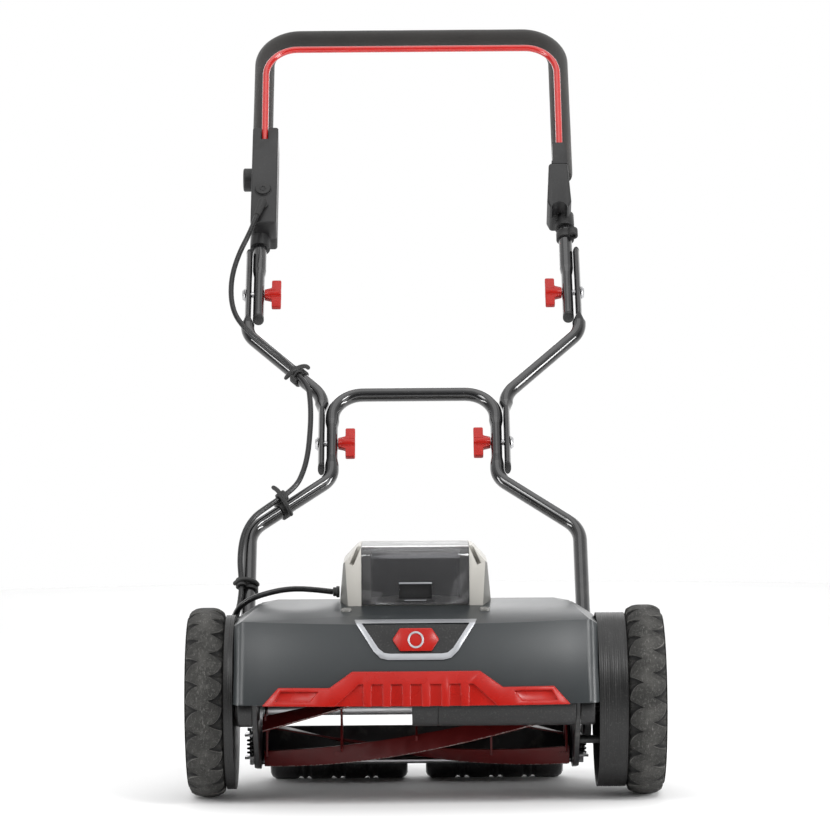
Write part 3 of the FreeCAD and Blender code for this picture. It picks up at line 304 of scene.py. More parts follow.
def moulded(name, colour, roughness=0.5, grain=0.7, depth=0.05, dust=0.15, spread=0.12, unevenness=0.06):
    """Injection moulded plastic: spark-eroded grain, faint flow clouds and dust in the grain."""
    f = Finish(name)
    cloud = f.noise(55, 3)
    speck = f.noise(2.2, 4)
    tinted = f.mix(cloud, shade(colour, 1 - spread), shade(colour, 1 + spread))
    dusty = f.math("MULTIPLY", f.between(speck, 0.52, 0.78), dust)
    f.bump(f.cells(grain), 0.35, depth)
    f.bump(f.noise(9, 3), unevenness, 0.3)
    return f.done(Base_Color=f.mix(dusty, tinted, (0.24, 0.235, 0.22)),
                  Roughness=f.between(cloud, 0.3, 0.7, roughness - unevenness, roughness + unevenness))


def facet_shaded_moulding(name, colour, shaded_facet_colour):
    """The housing's plastic; its two raked front facets are painted a darker grey as painted shade, where
    they turn sideways away from the light.
    """
    f = Finish(name)
    facet_rake, facet_start, border = 0.375, 83.1, 0.4
    outward = f.math("ABSOLUTE", f.part(f.place, "X"))
    past = f.math("SUBTRACT", outward, f.math("MULTIPLY", f.part(f.place, "Y"), facet_rake))
    # Painted shade: past this line the raked front facets take the darker grey.
    facet_shade_mask = f.between(past, mm(facet_start), mm(facet_start + border))
    cloud = f.noise(55, 3)
    light = f.mix(cloud, shade(colour, 0.96), shade(colour, 1.04))
    painted_facet_shade = f.mix(cloud, shade(shaded_facet_colour, 0.94), shade(shaded_facet_colour, 1.06))
    f.bump(f.cells(0.8), 0.3, 0.03)
    return f.done(Base_Color=f.mix(facet_shade_mask, light, painted_facet_shade),
                  Roughness=f.between(cloud, 0.3, 0.7, 0.34, 0.44))


def plated_steel(name, colour=(0.56, 0.56, 0.57), roughness=0.3):
    """Zinc plate over drawn steel: fine lines along X and cloudy plating."""
    f = Finish(name)
    lines = f.noise(1, 4, f.stretched(0.05, 2.2, 2.2))
    cloud = f.noise(14, 4)
    f.bump(lines, 0.15, 0.04)
    return f.done(Base_Color=f.mix(cloud, shade(colour, 0.8), shade(colour, 1.1)), Metallic=1.0,
                  Roughness=f.between(lines, 0.3, 0.7, roughness, roughness + 0.18))


def reel_paint(name):
    """Wine red paint, ground back to bright steel along the cutting edges."""
    f = Finish(name)
    y = f.part(f.place, "Y")
    z = f.math("SUBTRACT", f.part(f.place, "Z"), mm(REEL_HEIGHT))
    reach = f.math("SQRT", f.math("ADD", f.math("MULTIPLY", y, y), f.math("MULTIPLY", z, z)))
    rough_line = f.math("ADD", reach, f.between(f.noise(3, 4), 0.3, 0.7, mm(-0.5), mm(0.5)))
    bare = f.between(rough_line, mm(69.2), mm(70.0), 0, 0.7)
    cloud = f.noise(24, 5)
    paint = f.mix(cloud, (0.070, 0.005, 0.005), (0.125, 0.009, 0.009))
    chips = f.between(f.noise(5, 5), 0.68, 0.74)
    marked = f.mix(f.math("MULTIPLY", chips, 0.5), paint, (0.10, 0.05, 0.045))
    f.bump(f.noise(2.0, 2), 0.12, 0.08)
    return f.done(Base_Color=f.mix(bare, marked, (0.36, 0.33, 0.31)),
                  Metallic=f.math("MULTIPLY", bare, 0.6),
                  Roughness=f.between(cloud, 0.3, 0.7, 0.32, 0.46), Specular_IOR_Level=0.3)


def lacquered_silver(name):
    f = Finish(name)
    flake = f.cells(0.25)
    cloud = f.noise(30, 2)
    f.bump(flake, 0.08, 0.03)
    return f.done(Base_Color=f.mix(cloud, (0.35, 0.36, 0.38), (0.43, 0.44, 0.46)), Metallic=0.55,
                  Roughness=f.between(flake, 0.0, 0.5, 0.30, 0.42), Coat_Weight=0.35, Coat_Roughness=0.12)


def smoked_plastic(name):
    """Clear smoked plastic with a few hairline scratches."""
    f = Finish(name)
    hair = f.noise(1, 2, f.stretched(0.2, 3.5, 0.2))
    smudge = f.noise(22, 4)
    f.bump(hair, 0.03, 0.05)
    return f.done(Base_Color=f.mix(smudge, (0.30, 0.30, 0.31), (0.36, 0.36, 0.37)),
                  Transmission_Weight=0.90, IOR=1.49,
                  Roughness=f.between(smudge, 0.35, 0.75, 0.03, 0.10))


def worn_rubber(name):
    """Tyre rubber: a dusty, scuffed tread middle, lobe edges painted lighter (partly dust, partly a painted
    highlight), a painted shadow in the notches and fine pores.

    The tread map gives how near a point is to the tyre's worn middle, and how near it is to a lobe's
    edge: 1 on the edge, where the painted highlight goes, and -1 in the deep of the notch below it,
    where the painted shadow goes.
    """
    f = Finish(name)
    tread = f.new("ShaderNodeUVMap")
    tread.uv_map = "tread"
    middle, edge = f.part(tread.outputs[0], "X"), f.part(tread.outputs[0], "Y")
    patches = f.noise(26, 6)
    pores = f.noise(1.3, 5)
    scuff = f.between(f.noise(1, 8, f.stretched(0.5, 0.13, 0.13), 0.75), 0.56, 0.68)
    grit = f.between(f.noise(3.5, 8, None, 0.75), 0.50, 0.66)
    worn = f.math("MULTIPLY", middle, f.between(patches, 0.34, 0.66, 0.1, 0.5))
    rubber = f.mix(patches, (0.016, 0.016, 0.015), (0.031, 0.030, 0.028))
    dusty = f.mix(worn, rubber, (0.092, 0.090, 0.084))
    scuffed = f.mix(f.math("MULTIPLY", f.math("MULTIPLY", middle, scuff), 0.6), dusty, (0.27, 0.265, 0.25))
    scuffed = f.mix(f.math("MULTIPLY", grit, 0.35), scuffed, (0.15, 0.147, 0.138))
    # Lobe edges lighter in patches: partly dust, partly a painted highlight.
    edge_light_and_notch_shadow = f.mix(f.math("MULTIPLY", f.between(edge, 0.3, 1), f.between(patches, 0.38, 0.62, 0.1, 0.7)),
                   scuffed, (0.185, 0.181, 0.170))
    # Painted shadow: near black in the deep of each notch, below a lobe's edge.
    edge_light_and_notch_shadow = f.mix(f.between(edge, -0.15, -0.75), edge_light_and_notch_shadow, (0.006, 0.006, 0.006))
    f.bump(pores, 0.3, 0.25)
    f.bump(f.noise(6, 3), 0.12, 0.4)
    return f.done(Base_Color=edge_light_and_notch_shadow, Roughness=f.between(pores, 0.3, 0.7, 0.74, 0.92),
                  Specular_IOR_Level=0.35)


def cell_foam(name):
    """Closed-cell foam: small open pores in a matt skin."""
    f = Finish(name)
    pores = f.cells(0.9)
    f.bump(f.cells(1.6), 0.5, 0.3)
    f.bump(pores, 0.6, 0.2)
    shadow = f.between(pores, 0.05, 0.5)
    tone = f.mix(f.noise(40, 3), (0.020, 0.019, 0.018), (0.032, 0.030, 0.028))
    return f.done(Base_Color=f.mix(shadow, shade((0.018, 0.017, 0.016), 0.6), tone), Roughness=0.95,
                  Specular_IOR_Level=0.2, Sheen_Weight=0.25, Sheen_Roughness=0.6)


def soft_skin(name, colour, roughness=0.55):
    """Smooth soft rubber or cable jacket, a little chalky."""
    f = Finish(name)
    chalk = f.noise(12, 5)
    f.bump(f.noise(1.2, 3), 0.15, 0.1)
    return f.done(Base_Color=f.mix(f.between(chalk, 0.45, 0.8), colour, shade(colour, 2.1)),
                  Roughness=f.between(chalk, 0.3, 0.7, roughness, roughness + 0.15))


def signal_plastic(name):
    f = Finish(name)
    cloud = f.noise(45, 3)
    f.bump(f.cells(0.6), 0.2, 0.03)
    return f.done(Base_Color=f.mix(cloud, (0.34, 0.007, 0.004), (0.41, 0.010, 0.005)),
                  Roughness=f.between(cloud, 0.3, 0.7, 0.24, 0.32), Specular_IOR_Level=0.32)


FINISHES = {
    "black_paint": gloss_coat("black_paint", (0.009, 0.009, 0.0098), 0.10, 0.8, 0.06),
    "frame_plastic": moulded("frame_plastic", (0.009, 0.009, 0.0094), 0.40),
    "drum_plastic": moulded("drum_plastic", (0.0065, 0.0065, 0.0065), 0.44, grain=0.9, dust=0.12),
    "steel": plated_steel("steel"),
    "dark_steel": gloss_coat("dark_steel", (0.013, 0.013, 0.014), 0.3, 0.25, 0.3),
    "cover_grey": moulded("cover_grey", (0.024, 0.028, 0.030), 0.32, grain=0.8, depth=0.02, dust=0.02,
                          spread=0.06, unevenness=0.01),
    "signal_red": signal_plastic("signal_red"),
    "red_paint": gloss_coat("red_paint", (0.50, 0.012, 0.009), 0.12, 0.9, 0.02),
    "reel_red": reel_paint("reel_red"),
    "silver": lacquered_silver("silver"),
    # The housing's raked front facets carry a painted shade in a darker grey.
    "housing_grey": facet_shaded_moulding("housing_grey", (0.48, 0.465, 0.43), (0.17, 0.168, 0.158)),
    "smoke_lid": smoked_plastic("smoke_lid"),
    "pack_black": moulded("pack_black", (0.014, 0.014, 0.015), 0.5, dust=0.05),
    "tyre_rubber": worn_rubber("tyre_rubber"),
    "rim_black": moulded("rim_black", (0.020, 0.020, 0.021), 0.42, dust=0.2),
    "roller_black": moulded("roller_black", (0.012, 0.012, 0.013), 0.34, grain=1.2, dust=0.2),
    "foam": cell_foam("foam"),
    "switch_plastic": moulded("switch_plastic", (0.0065, 0.0065, 0.007), 0.42, dust=0.06),
    "soft_rubber": soft_skin("soft_rubber", (0.013, 0.013, 0.013), 0.5),
    "cable_jacket": soft_skin("cable_jacket", (0.007, 0.007, 0.0075), 0.24),
}


def dress(piece, slot_name, body):
    """Gives a new piece its finish, its material slot and the body it moves with."""
    piece.data.materials.clear()
    piece.data.materials.append(FINISHES[slot_name])
    if body:
        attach(piece, body)
    return piece


# ---------------------------------------------------------------- CAD shapes with finished edges

NODE_SLOTS = {part["node"]: part["material_slot"] for part in frame["record"]["subparts"]}
NODE_BODIES = {node: body for body, nodes in frame["record"]["behaviour"]["bodies"].items()
               for node in nodes}
EDGE_WIDTHS = {
    "side_plate_left": 0.6, "side_plate_right": 0.6, "motor_housing": 0.8, "motor_end_cap": 1.2,
    "front_stay": 1.2, "belt_guard": 1.2, "bed_knife_beam": 0.5, "bed_knife": 0.3, "blade_adjusters": 0.4,
    "reel_spiders": 0.3, "reel_blades": 0.25, "reel_pulley": 0.4, "cover_shell": 0.9, "grille_trim": 0.8,
    "panel_frame": 0.5, "badge": 1.3, "battery_housing": 1.2, "battery_lid": 0.8, "battery_pack": 0.8,
    "cable_gland": 0.6, "handle_brackets": 1.5, "lower_bolts": 0.5, "upper_bolts": 0.5, "cable_ties": 1.0,
    "middle_caps_and_tie": 1.0, "upper_caps_and_clip": 1.0, "switch_box_front": 0.6,
    "switch_box_rear": 0.6, "switch_fittings": 0.9, "bail_bracket": 0.8, "rim_left": 1.0,
    "rim_right": 1.0, "roller_carriage": 0.6, "roller_left": 0.5, "roller_right": 0.5,
    "knob_lower_left": 1.1, "knob_lower_right": 1.1, "knob_upper_left": 1.1, "knob_upper_right": 1.1,
    "wheel_axles": 0.6,
}
REPLACED = {"tyre_left", "tyre_right", "foam_grip", "cable_upper", "cable_middle", "cable_lower",
            "drive_cover", "cover_ring"}


def finished_copy(node, width):
    """A copy of a CAD node with clean faces and rounded edges, shown in its place."""
    piece = new_object(node + "_finished", frame["nodes"][node].data.copy())
    piece.data.materials.clear()
    mesh = bmesh.new()
    mesh.from_mesh(piece.data)
    bmesh.ops.remove_doubles(mesh, verts=mesh.verts, dist=mm(0.004))
    bmesh.ops.dissolve_limit(mesh, angle_limit=math.radians(0.5), verts=mesh.verts, edges=mesh.edges)
    mesh.to_mesh(piece.data)
    mesh.free()
    bevelled(piece, width)
    dress(piece, NODE_SLOTS[node], NODE_BODIES[node])
    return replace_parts(piece, node)


def finish_nodes():
    for node, item in frame["nodes"].items():
        if node in REPLACED:
            continue
        if node in EDGE_WIDTHS:
            finished_copy(node, EDGE_WIDTHS[node])
        else:
            item.data.materials.clear()
            item.data.materials.append(FINISHES[NODE_SLOTS[node]])


# ---------------------------------------------------------------- tyres

LOBES = 24
LOBE_STEPS = 20
BAND_HALF_WIDTH = 4.8
LOBE_REACH = 16.9


def crown(across):
    """The tyre's radius at a distance from its middle."""
    shoulder = [(0, 115), (8, 115), (14, 113.6), (20, 110), (23, 103)]
    across = abs(across)
    for (start, high), (end, low) in zip(shoulder, shoulder[1:]):
        if across <= end:
            share = (across - start) / (end - start)
            return high + (low - high) * share
    return shoulder[-1][1]


def lobe_edge(share):
    """How far out a lobe reaches, from one notch's tip (0) to the next (1)."""
    notch = 0.30
    if share < notch:
        return BAND_HALF_WIDTH + LOBE_REACH * share / notch
    bend = (share - notch) / (1 - notch)
    return BAND_HALF_WIDTH + LOBE_REACH * math.sqrt(max(0.0, 1 - bend * bend))


def tread_row(share):
    """(distance from the middle, depth, worn, edge) for the points of half a tread's cut; edge is 1 for the
    painted highlight on a lobe's edge and below 0 for the painted shadow in the notch.
    """
    edge = min(lobe_edge(share), 21.4)
    wall_top, wall_foot = max(edge - 0.25, 3.6), edge + 0.35
    floor = 1.6 + 2.2 * (edge - BAND_HALF_WIDTH) / LOBE_REACH
    shadow_end = min(wall_foot + 3.2, 22.0)
    return [(2.4, 0, 1.0, 0), (min(5.2, edge - 1.2), 0, 0.8, 0), (edge - 0.9, 0, 0.1, 0.25),
            (wall_top, 0.1, 0.1, 1.0), (wall_foot, floor, 0, -1.0),
            (shadow_end, max(floor, 3.0), 0, -0.7), (22.2, 3.2, 0, 0)]


def tyre(side):
    """A tyre with two rows of scale-shaped lobes, the arcs downwards on the right, upwards on the left."""
    phases = {1: math.radians(7.6), -1: math.radians(1.3)}
    sidewall = [(23.0, 103), (23.0, 98.6), (22.4, 98.2), (22.4, 97.4), (23.0, 97.0), (22.8, 93.5),
                (21.8, 93.1), (21.8, 91.6), (20.8, 90.15)]
    centre = at(WHEEL_CENTRES[side], 0, AXLE_HEIGHT)
    pitch = TURN / LOBES
    rings = LOBES * LOBE_STEPS
    points, marks = [], []
    for ring in range(rings):
        angle = TURN * ring / rings
        columns = []
        for sign in (-1, 1):
            share = (sign * (phases[sign] - angle) / pitch) % 1
            half = [(sign * across, crown(across) - depth, worn, edge)
                    for across, depth, worn, edge in tread_row(share)]
            half += [(sign * across, radius, 0, 0) for across, radius in sidewall]
            columns = half[::-1] if sign < 0 else columns + [(0, 115, 1.0, 0)] + half
        for across, radius, worn, edge in columns:
            points.append(centre + at(across, -radius * math.cos(angle), radius * math.sin(angle)))
            marks.append((worn, edge))
    width = len(points) // rings
    faces = []
    for ring in range(rings):
        here, there = ring * width, (ring + 1) % rings * width
        faces += [[here + column, here + column + 1, there + column + 1, there + column]
                  for column in range(width - 1)]
        faces.append([here + width - 1, here, there, there + width - 1])
    piece = mesh_piece("tyre_%s_tread" % side, points, faces, 60)
    # The tread map carries the worn middle, the lobe edges' painted highlight and the notches' painted
    # shadow.
    layer = piece.data.uv_layers.new(name="tread")
    for loop in piece.data.loops:
        layer.data[loop.index].uv = marks[loop.vertex_index]
    dress(piece, "tyre_rubber", "wheel_" + side)
    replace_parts(piece, "tyre_" + side)


# ---------------------------------------------------------------- drums

def ringed_wall(start, end, radius, step=2.6, depth=0.35):
    """The outside of a drum: shallow turned rings between two ends."""
    count = int(abs(end - start) / step)
    profile = []
    for index in range(count):
        along = start + (end - start) * (index + 0.15) / count
        gap = (end - start) * 0.3 / count
        worn = depth * (0.4 + 0.6 * ((index * 7) % 5) / 4)
        profile += [(along, radius), (along + gap, radius - worn), (along + 2 * gap, radius - worn)]
    return [(start, radius)] + profile + [(end, radius)]


def drums():
    """The wide drum inside the right wheel, on its three posts, and the narrow one inside the left."""
    axle, across, steps, radius = at(0, 0, AXLE_HEIGHT), Vector((1, 0, 0)), 160, 106
    post = [(0, 5), (54, 5)]
    outside = ringed_wall(219.2, 253.3, radius)
    wall = [(253.5, 8), (253.5, 104.8)] + outside[::-1]
    wall += [(219, 105.4), (219, 103), (249.5, 103), (249.5, 8)]
    parts = [lathe(axle, across, wall, steps, closed=True)]
    for y, z in ((0, 195), (80, 92), (-69, 75)):
        parts.append(lathe(at(196, y, z), across, post, 24))
    cover = joined("drive_cover_rings", parts, 30)
    dress(cover, "drum_plastic", "chassis")
    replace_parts(cover, "drive_cover")

    outside = ringed_wall(-230.3, -219.7, radius)
    wall = [(-196, 18.3), (-200, 18.3), (-200, 8), (-222.5, 8), (-222.5, 103), (-230.5, 103)]
    wall += [(-230.5, 105.6)] + outside + [(-219.5, 105.6), (-219.5, 30), (-196, 30)]
    ring = joined("cover_ring_rings", [lathe(axle, across, wall, steps, closed=True)], 30)
    dress(ring, "drum_plastic", "chassis")
    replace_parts(ring, "cover_ring")


# ---------------------------------------------------------------- foam grip

def arc_path(points, radius, step):
    """Places along straight runs joined by arcs of one radius, evenly spaced, in handle millimetres."""
    runs = [Vector(place) for place in points]
    path = [runs[0]]
    for before, corner, after in zip(runs, runs[1:], runs[2:]):
        inward, outward = (corner - before).normalized(), (after - corner).normalized()
        half_turn = inward.angle(outward) / 2
        reach = radius * math.tan(half_turn)
        start, end = corner - inward * reach, corner + outward * reach
        side = (outward - inward * inward.dot(outward)).normalized()
        centre = start + side * radius
        count = max(3, int(2 * half_turn * radius / step))
        path += straight(path[-1], start, step)
        for index in range(1, count):
            angle = 2 * half_turn * index / count
            path.append(centre - side * radius * math.cos(angle) + inward * radius * math.sin(angle))
        path.append(end)
    return path + straight(path[-1], runs[-1], step)


def straight(start, end, step):
    count = max(1, int((end - start).length / step))
    return [start + (end - start) * index / count for index in range(1, count + 1)]


def foam_grip():
    """The foam sleeve, drawn in a little at its two cut ends and never quite even."""
    half, top, left_end, right_end, corner = 206.5, 1138.6, 941, 871, 50
    radius, spacing, end_draw, end_reach = 13.78, 4.0, 1.1, 2.5
    flat = arc_path([(-half, left_end, 0), (-half, top, 0), (half, top, 0), (half, right_end, 0)],
                    corner, spacing)
    path = [on_handle(*place) for place in flat]
    rng = random.Random(7)
    waves = [(length, rng.uniform(0, TURN)) for length in (61, 23, 11)]
    radii = []
    for index in range(len(path)):
        along = index * spacing
        from_end = min(index, len(path) - 1 - index) * spacing
        waver = sum(math.sin(along / length + phase) for length, phase in waves)
        radii.append(radius + 0.03 * waver - end_draw * math.exp(-from_end / end_reach))
    piece = joined("foam_sleeve", [swept_tube(path, radii)], 50)
    dress(piece, "foam", "upper_handle")
    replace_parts(piece, "foam_grip")


# ---------------------------------------------------------------- cable

CABLE_RADIUS = 3.5
UPPER_ROUTE = [(-210, 767, 40), (-218, 741, 37), (-233, 708, 30), (-242, 674, 24), (-243, 640, 21),
               (-238, 612, 19), (-227, 591, 18), (-211, 572, 17), (-192, 553, 16), (-171, 533, 15)]
MIDDLE_ROUTE = [(-138, 488, 16), (-135, 460, 17), (-134, 431, 18), (-135, 402, 18), (-137, 373, 17),
                (-142, 345, 16), (-152, 318, 15)]
LOWER_ROUTE = [(-187, 288, 15), (-204, 272, 16), (-215, 250, 17), (-220, 226, 16), (-221, 200, 14),
               (-219, 178, 12), (-218, 158, 11)]
COVER_ROUTE = [(-220, 124, 222), (-224, 106, 208), (-225.5, 84, 207), (-224, 62, 214), (-217, 45, 227),
               (-202, 36, 238), (-182, 31, 245), (-158, 30, 250), (-131, 31, 250), (-101, 32, 246)]


def cable_run(name, route):
    """A round cable whose line is a smooth spline with the route's places as its control points."""
    curve = bpy.data.curves.new(name, "CURVE")
    curve.dimensions = "3D"
    curve.bevel_depth = mm(CABLE_RADIUS)
    curve.bevel_resolution = 5
    curve.resolution_u = 10
    curve.use_fill_caps = True
    spline = curve.splines.new("NURBS")
    spline.points.add(len(route) - 1)
    for control, place in zip(spline.points, route):
        control.co = (*place, 1)
    spline.order_u = 3
    spline.use_endpoint_u = True
    line = new_object(name + "_line", curve)
    graph = bpy.context.evaluated_depsgraph_get()
    mesh = bpy.data.meshes.new_from_object(line.evaluated_get(graph))
    bpy.data.objects.remove(line)
    smooth_by_angle(mesh, 50)
    return new_object(name, mesh)


def cable():
    """One cable from the switch box to the housing, in three runs divided at its ties."""
    upper = [on_handle(*place) for place in UPPER_ROUTE]
    middle = [on_handle(*place) for place in MIDDLE_ROUTE]
    lower = [on_handle(*place) for place in LOWER_ROUTE] + [at(*place) for place in COVER_ROUTE]
    first_tie = (upper[-1] + middle[0]) / 2
    second_tie = (middle[-1] + lower[0]) / 2

    run = cable_run("cable_upper_run", upper + [first_tie])
    dress(run, "cable_jacket", None)
    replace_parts(run, "cable_upper")
    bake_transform(run)

    run = cable_run("cable_middle_run", [first_tie] + middle + [second_tie])
    dress(run, "cable_jacket", None)
    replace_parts(run, "cable_middle")
    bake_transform(run)

    run = cable_run("cable_lower_run", [second_tie] + lower)
    dress(run, "cable_jacket", "chassis")
    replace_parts(run, "cable_lower")


# ---------------------------------------------------------------- small pieces

def tie_straps():
    """The raised cords of the three rubber ties, from the cable's side over to the tube's far side."""
    straps = (("first_tie_strap", "middle_frame", (-169, 500, 14), (-160, 506, 21.5), (-150, 515, 20.5),
               (-142, 523, 13), (-138, 527, 4)),
              ("second_tie_strap", "chassis", (-182, 318, 17), (-175, 308, 22), (-168, 297, 19.5),
               (-161, 286, 13), (-157, 281, 4)),
              ("third_tie_strap", "chassis", (-228, 166, 12), (-221, 168, 17.5), (-212, 169.5, 18),
               (-202, 170, 12.5), (-197.5, 170, 4)))
    steps_between, radius, end_steps = 8, 2.9, 4
    for name, body, *places in straps:
        knots = [on_handle(*place) for place in places]
        path = []
        for index in range(len(knots) - 1):
            before, start = knots[max(index - 1, 0)], knots[index]
            end, after = knots[index + 1], knots[min(index + 2, len(knots) - 1)]
            for step in range(steps_between):
                path.append(spline_place(before, start, end, after, step / steps_between))
        path.append(knots[-1])
        radii = []
        for index in range(len(path)):
            from_end = min(1, (0.3 + min(index, len(path) - 1 - index)) / end_steps)
            radii.append(radius * math.sqrt(1 - (1 - from_end) ** 2))
        strap = joined(name, [swept_tube(path, radii)], 50)
        dress(strap, "soft_rubber", body)


def spline_place(before, start, end, after, share):
    """A place between start and end on the smooth line through all four."""
    return 0.5 * (2 * start + (end - before) * share
                  + (2 * before - 5 * start + 4 * end - after) * share ** 2
                  + (3 * start - before - 3 * end + after) * share ** 3)


def blade_angle(x, index):
    """Where a blade's cutting edge stands at a place along the reel, from +Y towards +Z."""
    start, twist, spacing = 223.6, -0.235, 72
    return math.radians(start + twist * x + spacing * index)


def blade_rivets():
    """Domed rivets where the blades are fixed to the spiders: two to a tab, one on the end spiders."""
    dome = [(0, 3.0), (0.5, 2.9), (1.0, 2.3), (1.3, 1.2), (1.4, 0.2)]
    tip_radius, root_radius, lean, inset, offset = 70, 51, math.radians(13), 12, 5.5
    blades, spider_spacing, end_spider = 5, 91, 2
    parts = []
    for step in range(-end_spider, end_spider + 1):
        x = step * spider_spacing
        offsets = [-math.copysign(offset, x)] if abs(step) == end_spider else [-offset, offset]
        for index in range(blades):
            outer = blade_angle(x, index)
            tip = Vector((0, math.cos(outer), math.sin(outer))) * tip_radius
            root = Vector((0, math.cos(outer - lean), math.sin(outer - lean))) * root_radius
            along = (root - tip).normalized()
            facing = Vector((0, along.z, -along.y))
            place = tip + along * inset
            for beside in offsets:
                parts.append(lathe(at(x + beside, place.y, place.z + REEL_HEIGHT), facing, dome, 16))
    dress(joined("blade_rivets", parts, 40), "reel_red", "reel")


ROOF_START, ROOF_HEIGHT, ROOF_SLOPE = -300, 182.7, 0.163


def front_face(x, z):
    """The cover's surface, as a distance along Y, at a place seen from the front."""
    bow, front, lean, level = 1314.9, -140, 0.543, 125
    face = front + bow - math.sqrt(bow * bow - x * x) + lean * (z - level)
    roof = (z - ROOF_HEIGHT) / ROOF_SLOPE + ROOF_START
    return max(face, roof)


def badge_panel():
    """The darker field inside the silver band."""
    edge = [(184.2, 31), (185.2, 37.8), (190.2, 44.3), (218.4, 64.2)]
    rows, columns, proud = 34, 28, 0.3
    low, high = edge[0][0], edge[-1][0]
    points, faces = [], []
    for row in range(rows + 1):
        z = low + (high - low) * row / rows
        for (start, inner), (end, outer) in zip(edge, edge[1:]):
            if z <= end + 1e-6:
                half = inner + (outer - inner) * (z - start) / (end - start)
                break
        for column in range(columns + 1):
            x = half * (2 * column / columns - 1)
            points.append(at(x, front_face(x, z) - proud, z))
    for row in range(rows):
        for column in range(columns):
            corner = row * (columns + 1) + column
            faces.append([corner, corner + 1, corner + columns + 2, corner + columns + 1])
    field = mesh_piece("badge_field", points, faces, 40)
    thick = field.modifiers.new("thickness", "SOLIDIFY")
    thick.thickness = mm(0.5)
    thick.offset = -1
    with_modifiers(field)
    smooth_by_angle(field.data, 40)
    dress(field, "frame_plastic", "chassis")


def badge_ring():
    """A raised ring on the badge, in place of any mark."""
    back, centre_z, count = 3.4, 200, 48
    profile = [(9.6, 0.0), (9.6, 0.5), (9.1, 0.9), (7.9, 0.9), (7.4, 0.5), (7.4, 0.0)]
    points, faces = [], []
    for step in range(count):
        angle = TURN * step / count
        for radius, height in profile:
            x, z = radius * math.cos(angle), centre_z + radius * math.sin(angle)
            points.append(at(x, front_face(x, z) - back - height, z))
    width = len(profile)
    for step in range(count):
        here, there = step * width, (step + 1) % count * width
        for row in range(width):
            after = (row + 1) % width
            faces.append([here + row, here + after, there + after, there + row])
    ring = mesh_piece("badge_ring", points, faces, 40)
    dress(ring, "silver", "chassis")


def switch_rings():
    """Two raised rings on the switch box: one round the plug and one on it."""
    outward = (on_handle(0, 0, 1) - on_handle(0, 0, 0)).normalized()
    collar = [(-0.4, 11.9), (0.5, 11.9), (0.9, 11.5), (0.9, 10.8), (0.5, 10.4), (-0.4, 10.4)]
    cross = [(-0.4, 4.4), (0.5, 4.4), (0.8, 4.0), (0.8, 3.2), (0.5, 2.8), (-0.4, 2.8)]
    plug_x, plug_station = -203, 821
    parts = [lathe(on_handle(plug_x, plug_station, 34), outward, collar, 40, closed=True),
             lathe(on_handle(plug_x, plug_station, 36.5), outward, cross, 32, closed=True)]
    dress(joined("switch_rings", parts, 40), "switch_plastic", "upper_handle")


def lid_face(z):
    """The lid's outer face, as a distance along Y, at a height."""
    foot_y, foot_z, lean = -8, 200, 14.7 / 88
    return foot_y + (z - foot_z) * lean


def pocket_rim_highlights():
    """Two silver strips coloured as painted highlights on the finger pocket's rims: a bright one over the
    pocket and a thin bright line under it.
    """
    sunk, taper = 0.6, 1.2
    parts = []
    for low, high, half, proud in ((257.4, 259.4, 20.5, 0.8), (237.4, 238.3, 14.0, 0.4)):
        outline = ((-half, -sunk), (half, -sunk), (half - taper, proud), (taper - half, proud))
        points = [at(x, lid_face(z) - lift, z) for z in (low, high) for x, lift in outline]
        faces = [[3, 2, 1, 0], [4, 5, 6, 7]]
        faces += [[side, (side + 1) % 4, (side + 1) % 4 + 4, side + 4] for side in range(4)]
        parts.append((points, faces))
    # Painted highlight: silver strips where the pocket's rims catch the light.
    rim_highlight_strips = joined("pocket_rim_highlights", parts, 30)
    bevelled(rim_highlight_strips, 0.35)
    dress(rim_highlight_strips, "silver", "lid")


def pocket_liner():
    """The black lining of the lid's finger pocket: a back wall, two ends, a floor and a roof."""
    half, low, high, back, wall = 19.9, 239.1, 257.9, 6.9, 0.6
    end_front, floor_front, roof_front = 1.8, -0.4, 2.6
    inside, face = half - wall, back - wall
    parts = [block((-half, face, low), (half, back, high)),
             block((-half, end_front, low), (-inside, face, high)),
             block((inside, end_front, low), (half, face, high)),
             block((-inside, floor_front, low), (inside, face, low + wall)),
             block((-inside, roof_front, high - wall), (inside, face, high))]
    dress(joined("pocket_liner", parts, 30), "pack_black", "lid")


def screw_caps():
    """The round caps at the front corners of the battery housing."""
    profile = [(-3, 6.4), (1.6, 6.4), (2.4, 5.8), (2.6, 4.6), (2.0, 4.2), (2.0, 0.3)]
    roof_normal = Vector((0, -ROOF_SLOPE, 1)).normalized()
    y = -24
    parts = [lathe(at(x, y, ROOF_HEIGHT + ROOF_SLOPE * (y - ROOF_START)), roof_normal, profile, 32)
             for x in (-84, 84)]
    dress(joined("screw_caps", parts, 40), "housing_grey", "chassis")


def small_pieces():
    tie_straps()
    blade_rivets()
    badge_panel()
    badge_ring()
    switch_rings()
    pocket_rim_highlights()
    pocket_liner()
    screw_caps()


# ---------------------------------------------------------------- studio

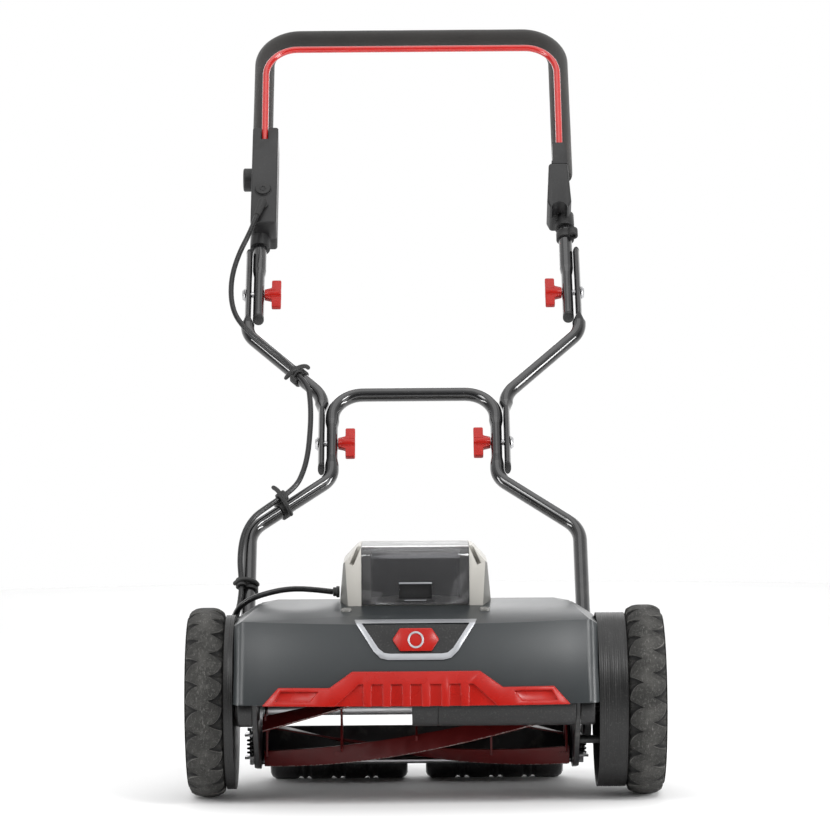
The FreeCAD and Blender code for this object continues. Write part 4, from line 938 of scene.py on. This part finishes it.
def light_the_room(tree):
    """White walls behind and above, a dimmer room in front; the backdrop itself is plain white."""
    def graded(value, low, high, to_low, to_high):
        made = tree.nodes.new("ShaderNodeMapRange")
        tree.links.new(value, made.inputs["Value"])
        for name, number in (("From Min", low), ("From Max", high), ("To Min", to_low), ("To Max", to_high)):
            made.inputs[name].default_value = number
        made.interpolation_type = "SMOOTHSTEP"
        return made.outputs[0]

    def larger(first, second):
        made = tree.nodes.new("ShaderNodeMath")
        made.operation = "MAXIMUM"
        tree.links.new(first, made.inputs[0])
        tree.links.new(second, made.inputs[1])
        return made.outputs[0]

    direction = tree.nodes.new("ShaderNodeSeparateXYZ")
    tree.links.new(tree.nodes.new("ShaderNodeTexCoord").outputs["Generated"], direction.inputs[0])
    behind = graded(direction.outputs["Y"], -0.35, 0.45, 0.14, 1.0)
    above = graded(direction.outputs["Z"], 0.25, 0.9, 0.0, 0.8)
    seen = tree.nodes.new("ShaderNodeLightPath").outputs["Is Camera Ray"]
    sky = tree.nodes["Background"]
    sky.inputs["Color"].default_value = (1, 1, 1, 1)
    tree.links.new(larger(larger(behind, above), seen), sky.inputs["Strength"])


def studio():
    scene = bpy.context.scene
    scene.view_settings.view_transform = "Standard"
    world = bpy.data.worlds.new("studio")
    scene.world = world
    world.use_nodes = True
    light_the_room(world.node_tree)

    count, floor_radius = 96, 3.0
    rim = ring_points(Vector((0, 0, 0)), Vector((1, 0, 0)), Vector((0, 1, 0)), floor_radius, count)
    floor = mesh_piece("floor", rim, [list(range(count))])
    paper = Finish("floor_paper")
    grain = paper.noise(400, 3)
    pale = paper.mix(grain, (0.86, 0.86, 0.86), (0.89, 0.89, 0.89))
    floor.data.materials.append(paper.done(Base_Color=pale, Roughness=0.9))

    def lamp(name, place, target, size, power, height=None):
        light = bpy.data.lights.new(name, "AREA")
        light.energy = power
        light.shape = "RECTANGLE"
        light.size = size
        light.size_y = height or size
        item = new_object(name, light)
        item.location = place
        item.rotation_euler = (Vector(target) - Vector(place)).to_track_quat("-Z", "Y").to_euler()
        item.visible_camera = False

    middle = (0, 0.1, 0.4)
    lamp("key", (-2.2, -2.6, 2.6), middle, 1.2, 18)
    lamp("fill", (2.6, -2.0, 1.6), middle, 1.2, 9)
    lamp("top", (0, 0.2, 3.2), middle, 2.2, 14)
    lamp("left_strip", (-1.7, -0.5, 0.5), (0, 0, 0.2), 0.25, 14, 1.4)
    lamp("right_strip", (1.8, -0.5, 0.5), (0, 0, 0.2), 0.25, 26, 1.4)
    lamp("left_high", (-1.3, -1.6, 2.6), (-0.2, -0.1, 0.18), 0.6, 13)
    lamp("right_high", (1.3, -1.6, 2.6), (0.2, -0.1, 0.18), 0.6, 26)
    lamp("rear", (0, 3.2, 1.3), (0, 0, 0.25), 2.4, 13, 1.0)


def camera():
    """Level with the handle's middle, well back, tipped a little down and a little over."""
    place = Vector((0.0012, -4.680, 0.668))
    tip, roll = math.radians(2.5), math.radians(0.45)
    across = Vector((1, 0, 0))
    forward = Vector((0, math.cos(tip), -math.sin(tip)))
    up = Vector((0, math.sin(tip), math.cos(tip)))
    right = across * math.cos(roll) - up * math.sin(roll)
    above = across * math.sin(roll) + up * math.cos(roll)
    data = bpy.data.cameras.new("camera")
    data.sensor_width = 36
    data.lens = 167.07
    item = new_object("camera", data)
    turned = Matrix((right, above, -forward)).transposed().to_4x4()
    item.matrix_world = Matrix.Translation(place) @ turned
    bpy.context.scene.camera = item


camera()
cable()
finish_nodes()
for wheel_side in WHEEL_CENTRES:
    tyre(wheel_side)
drums()
foam_grip()
small_pieces()
studio()
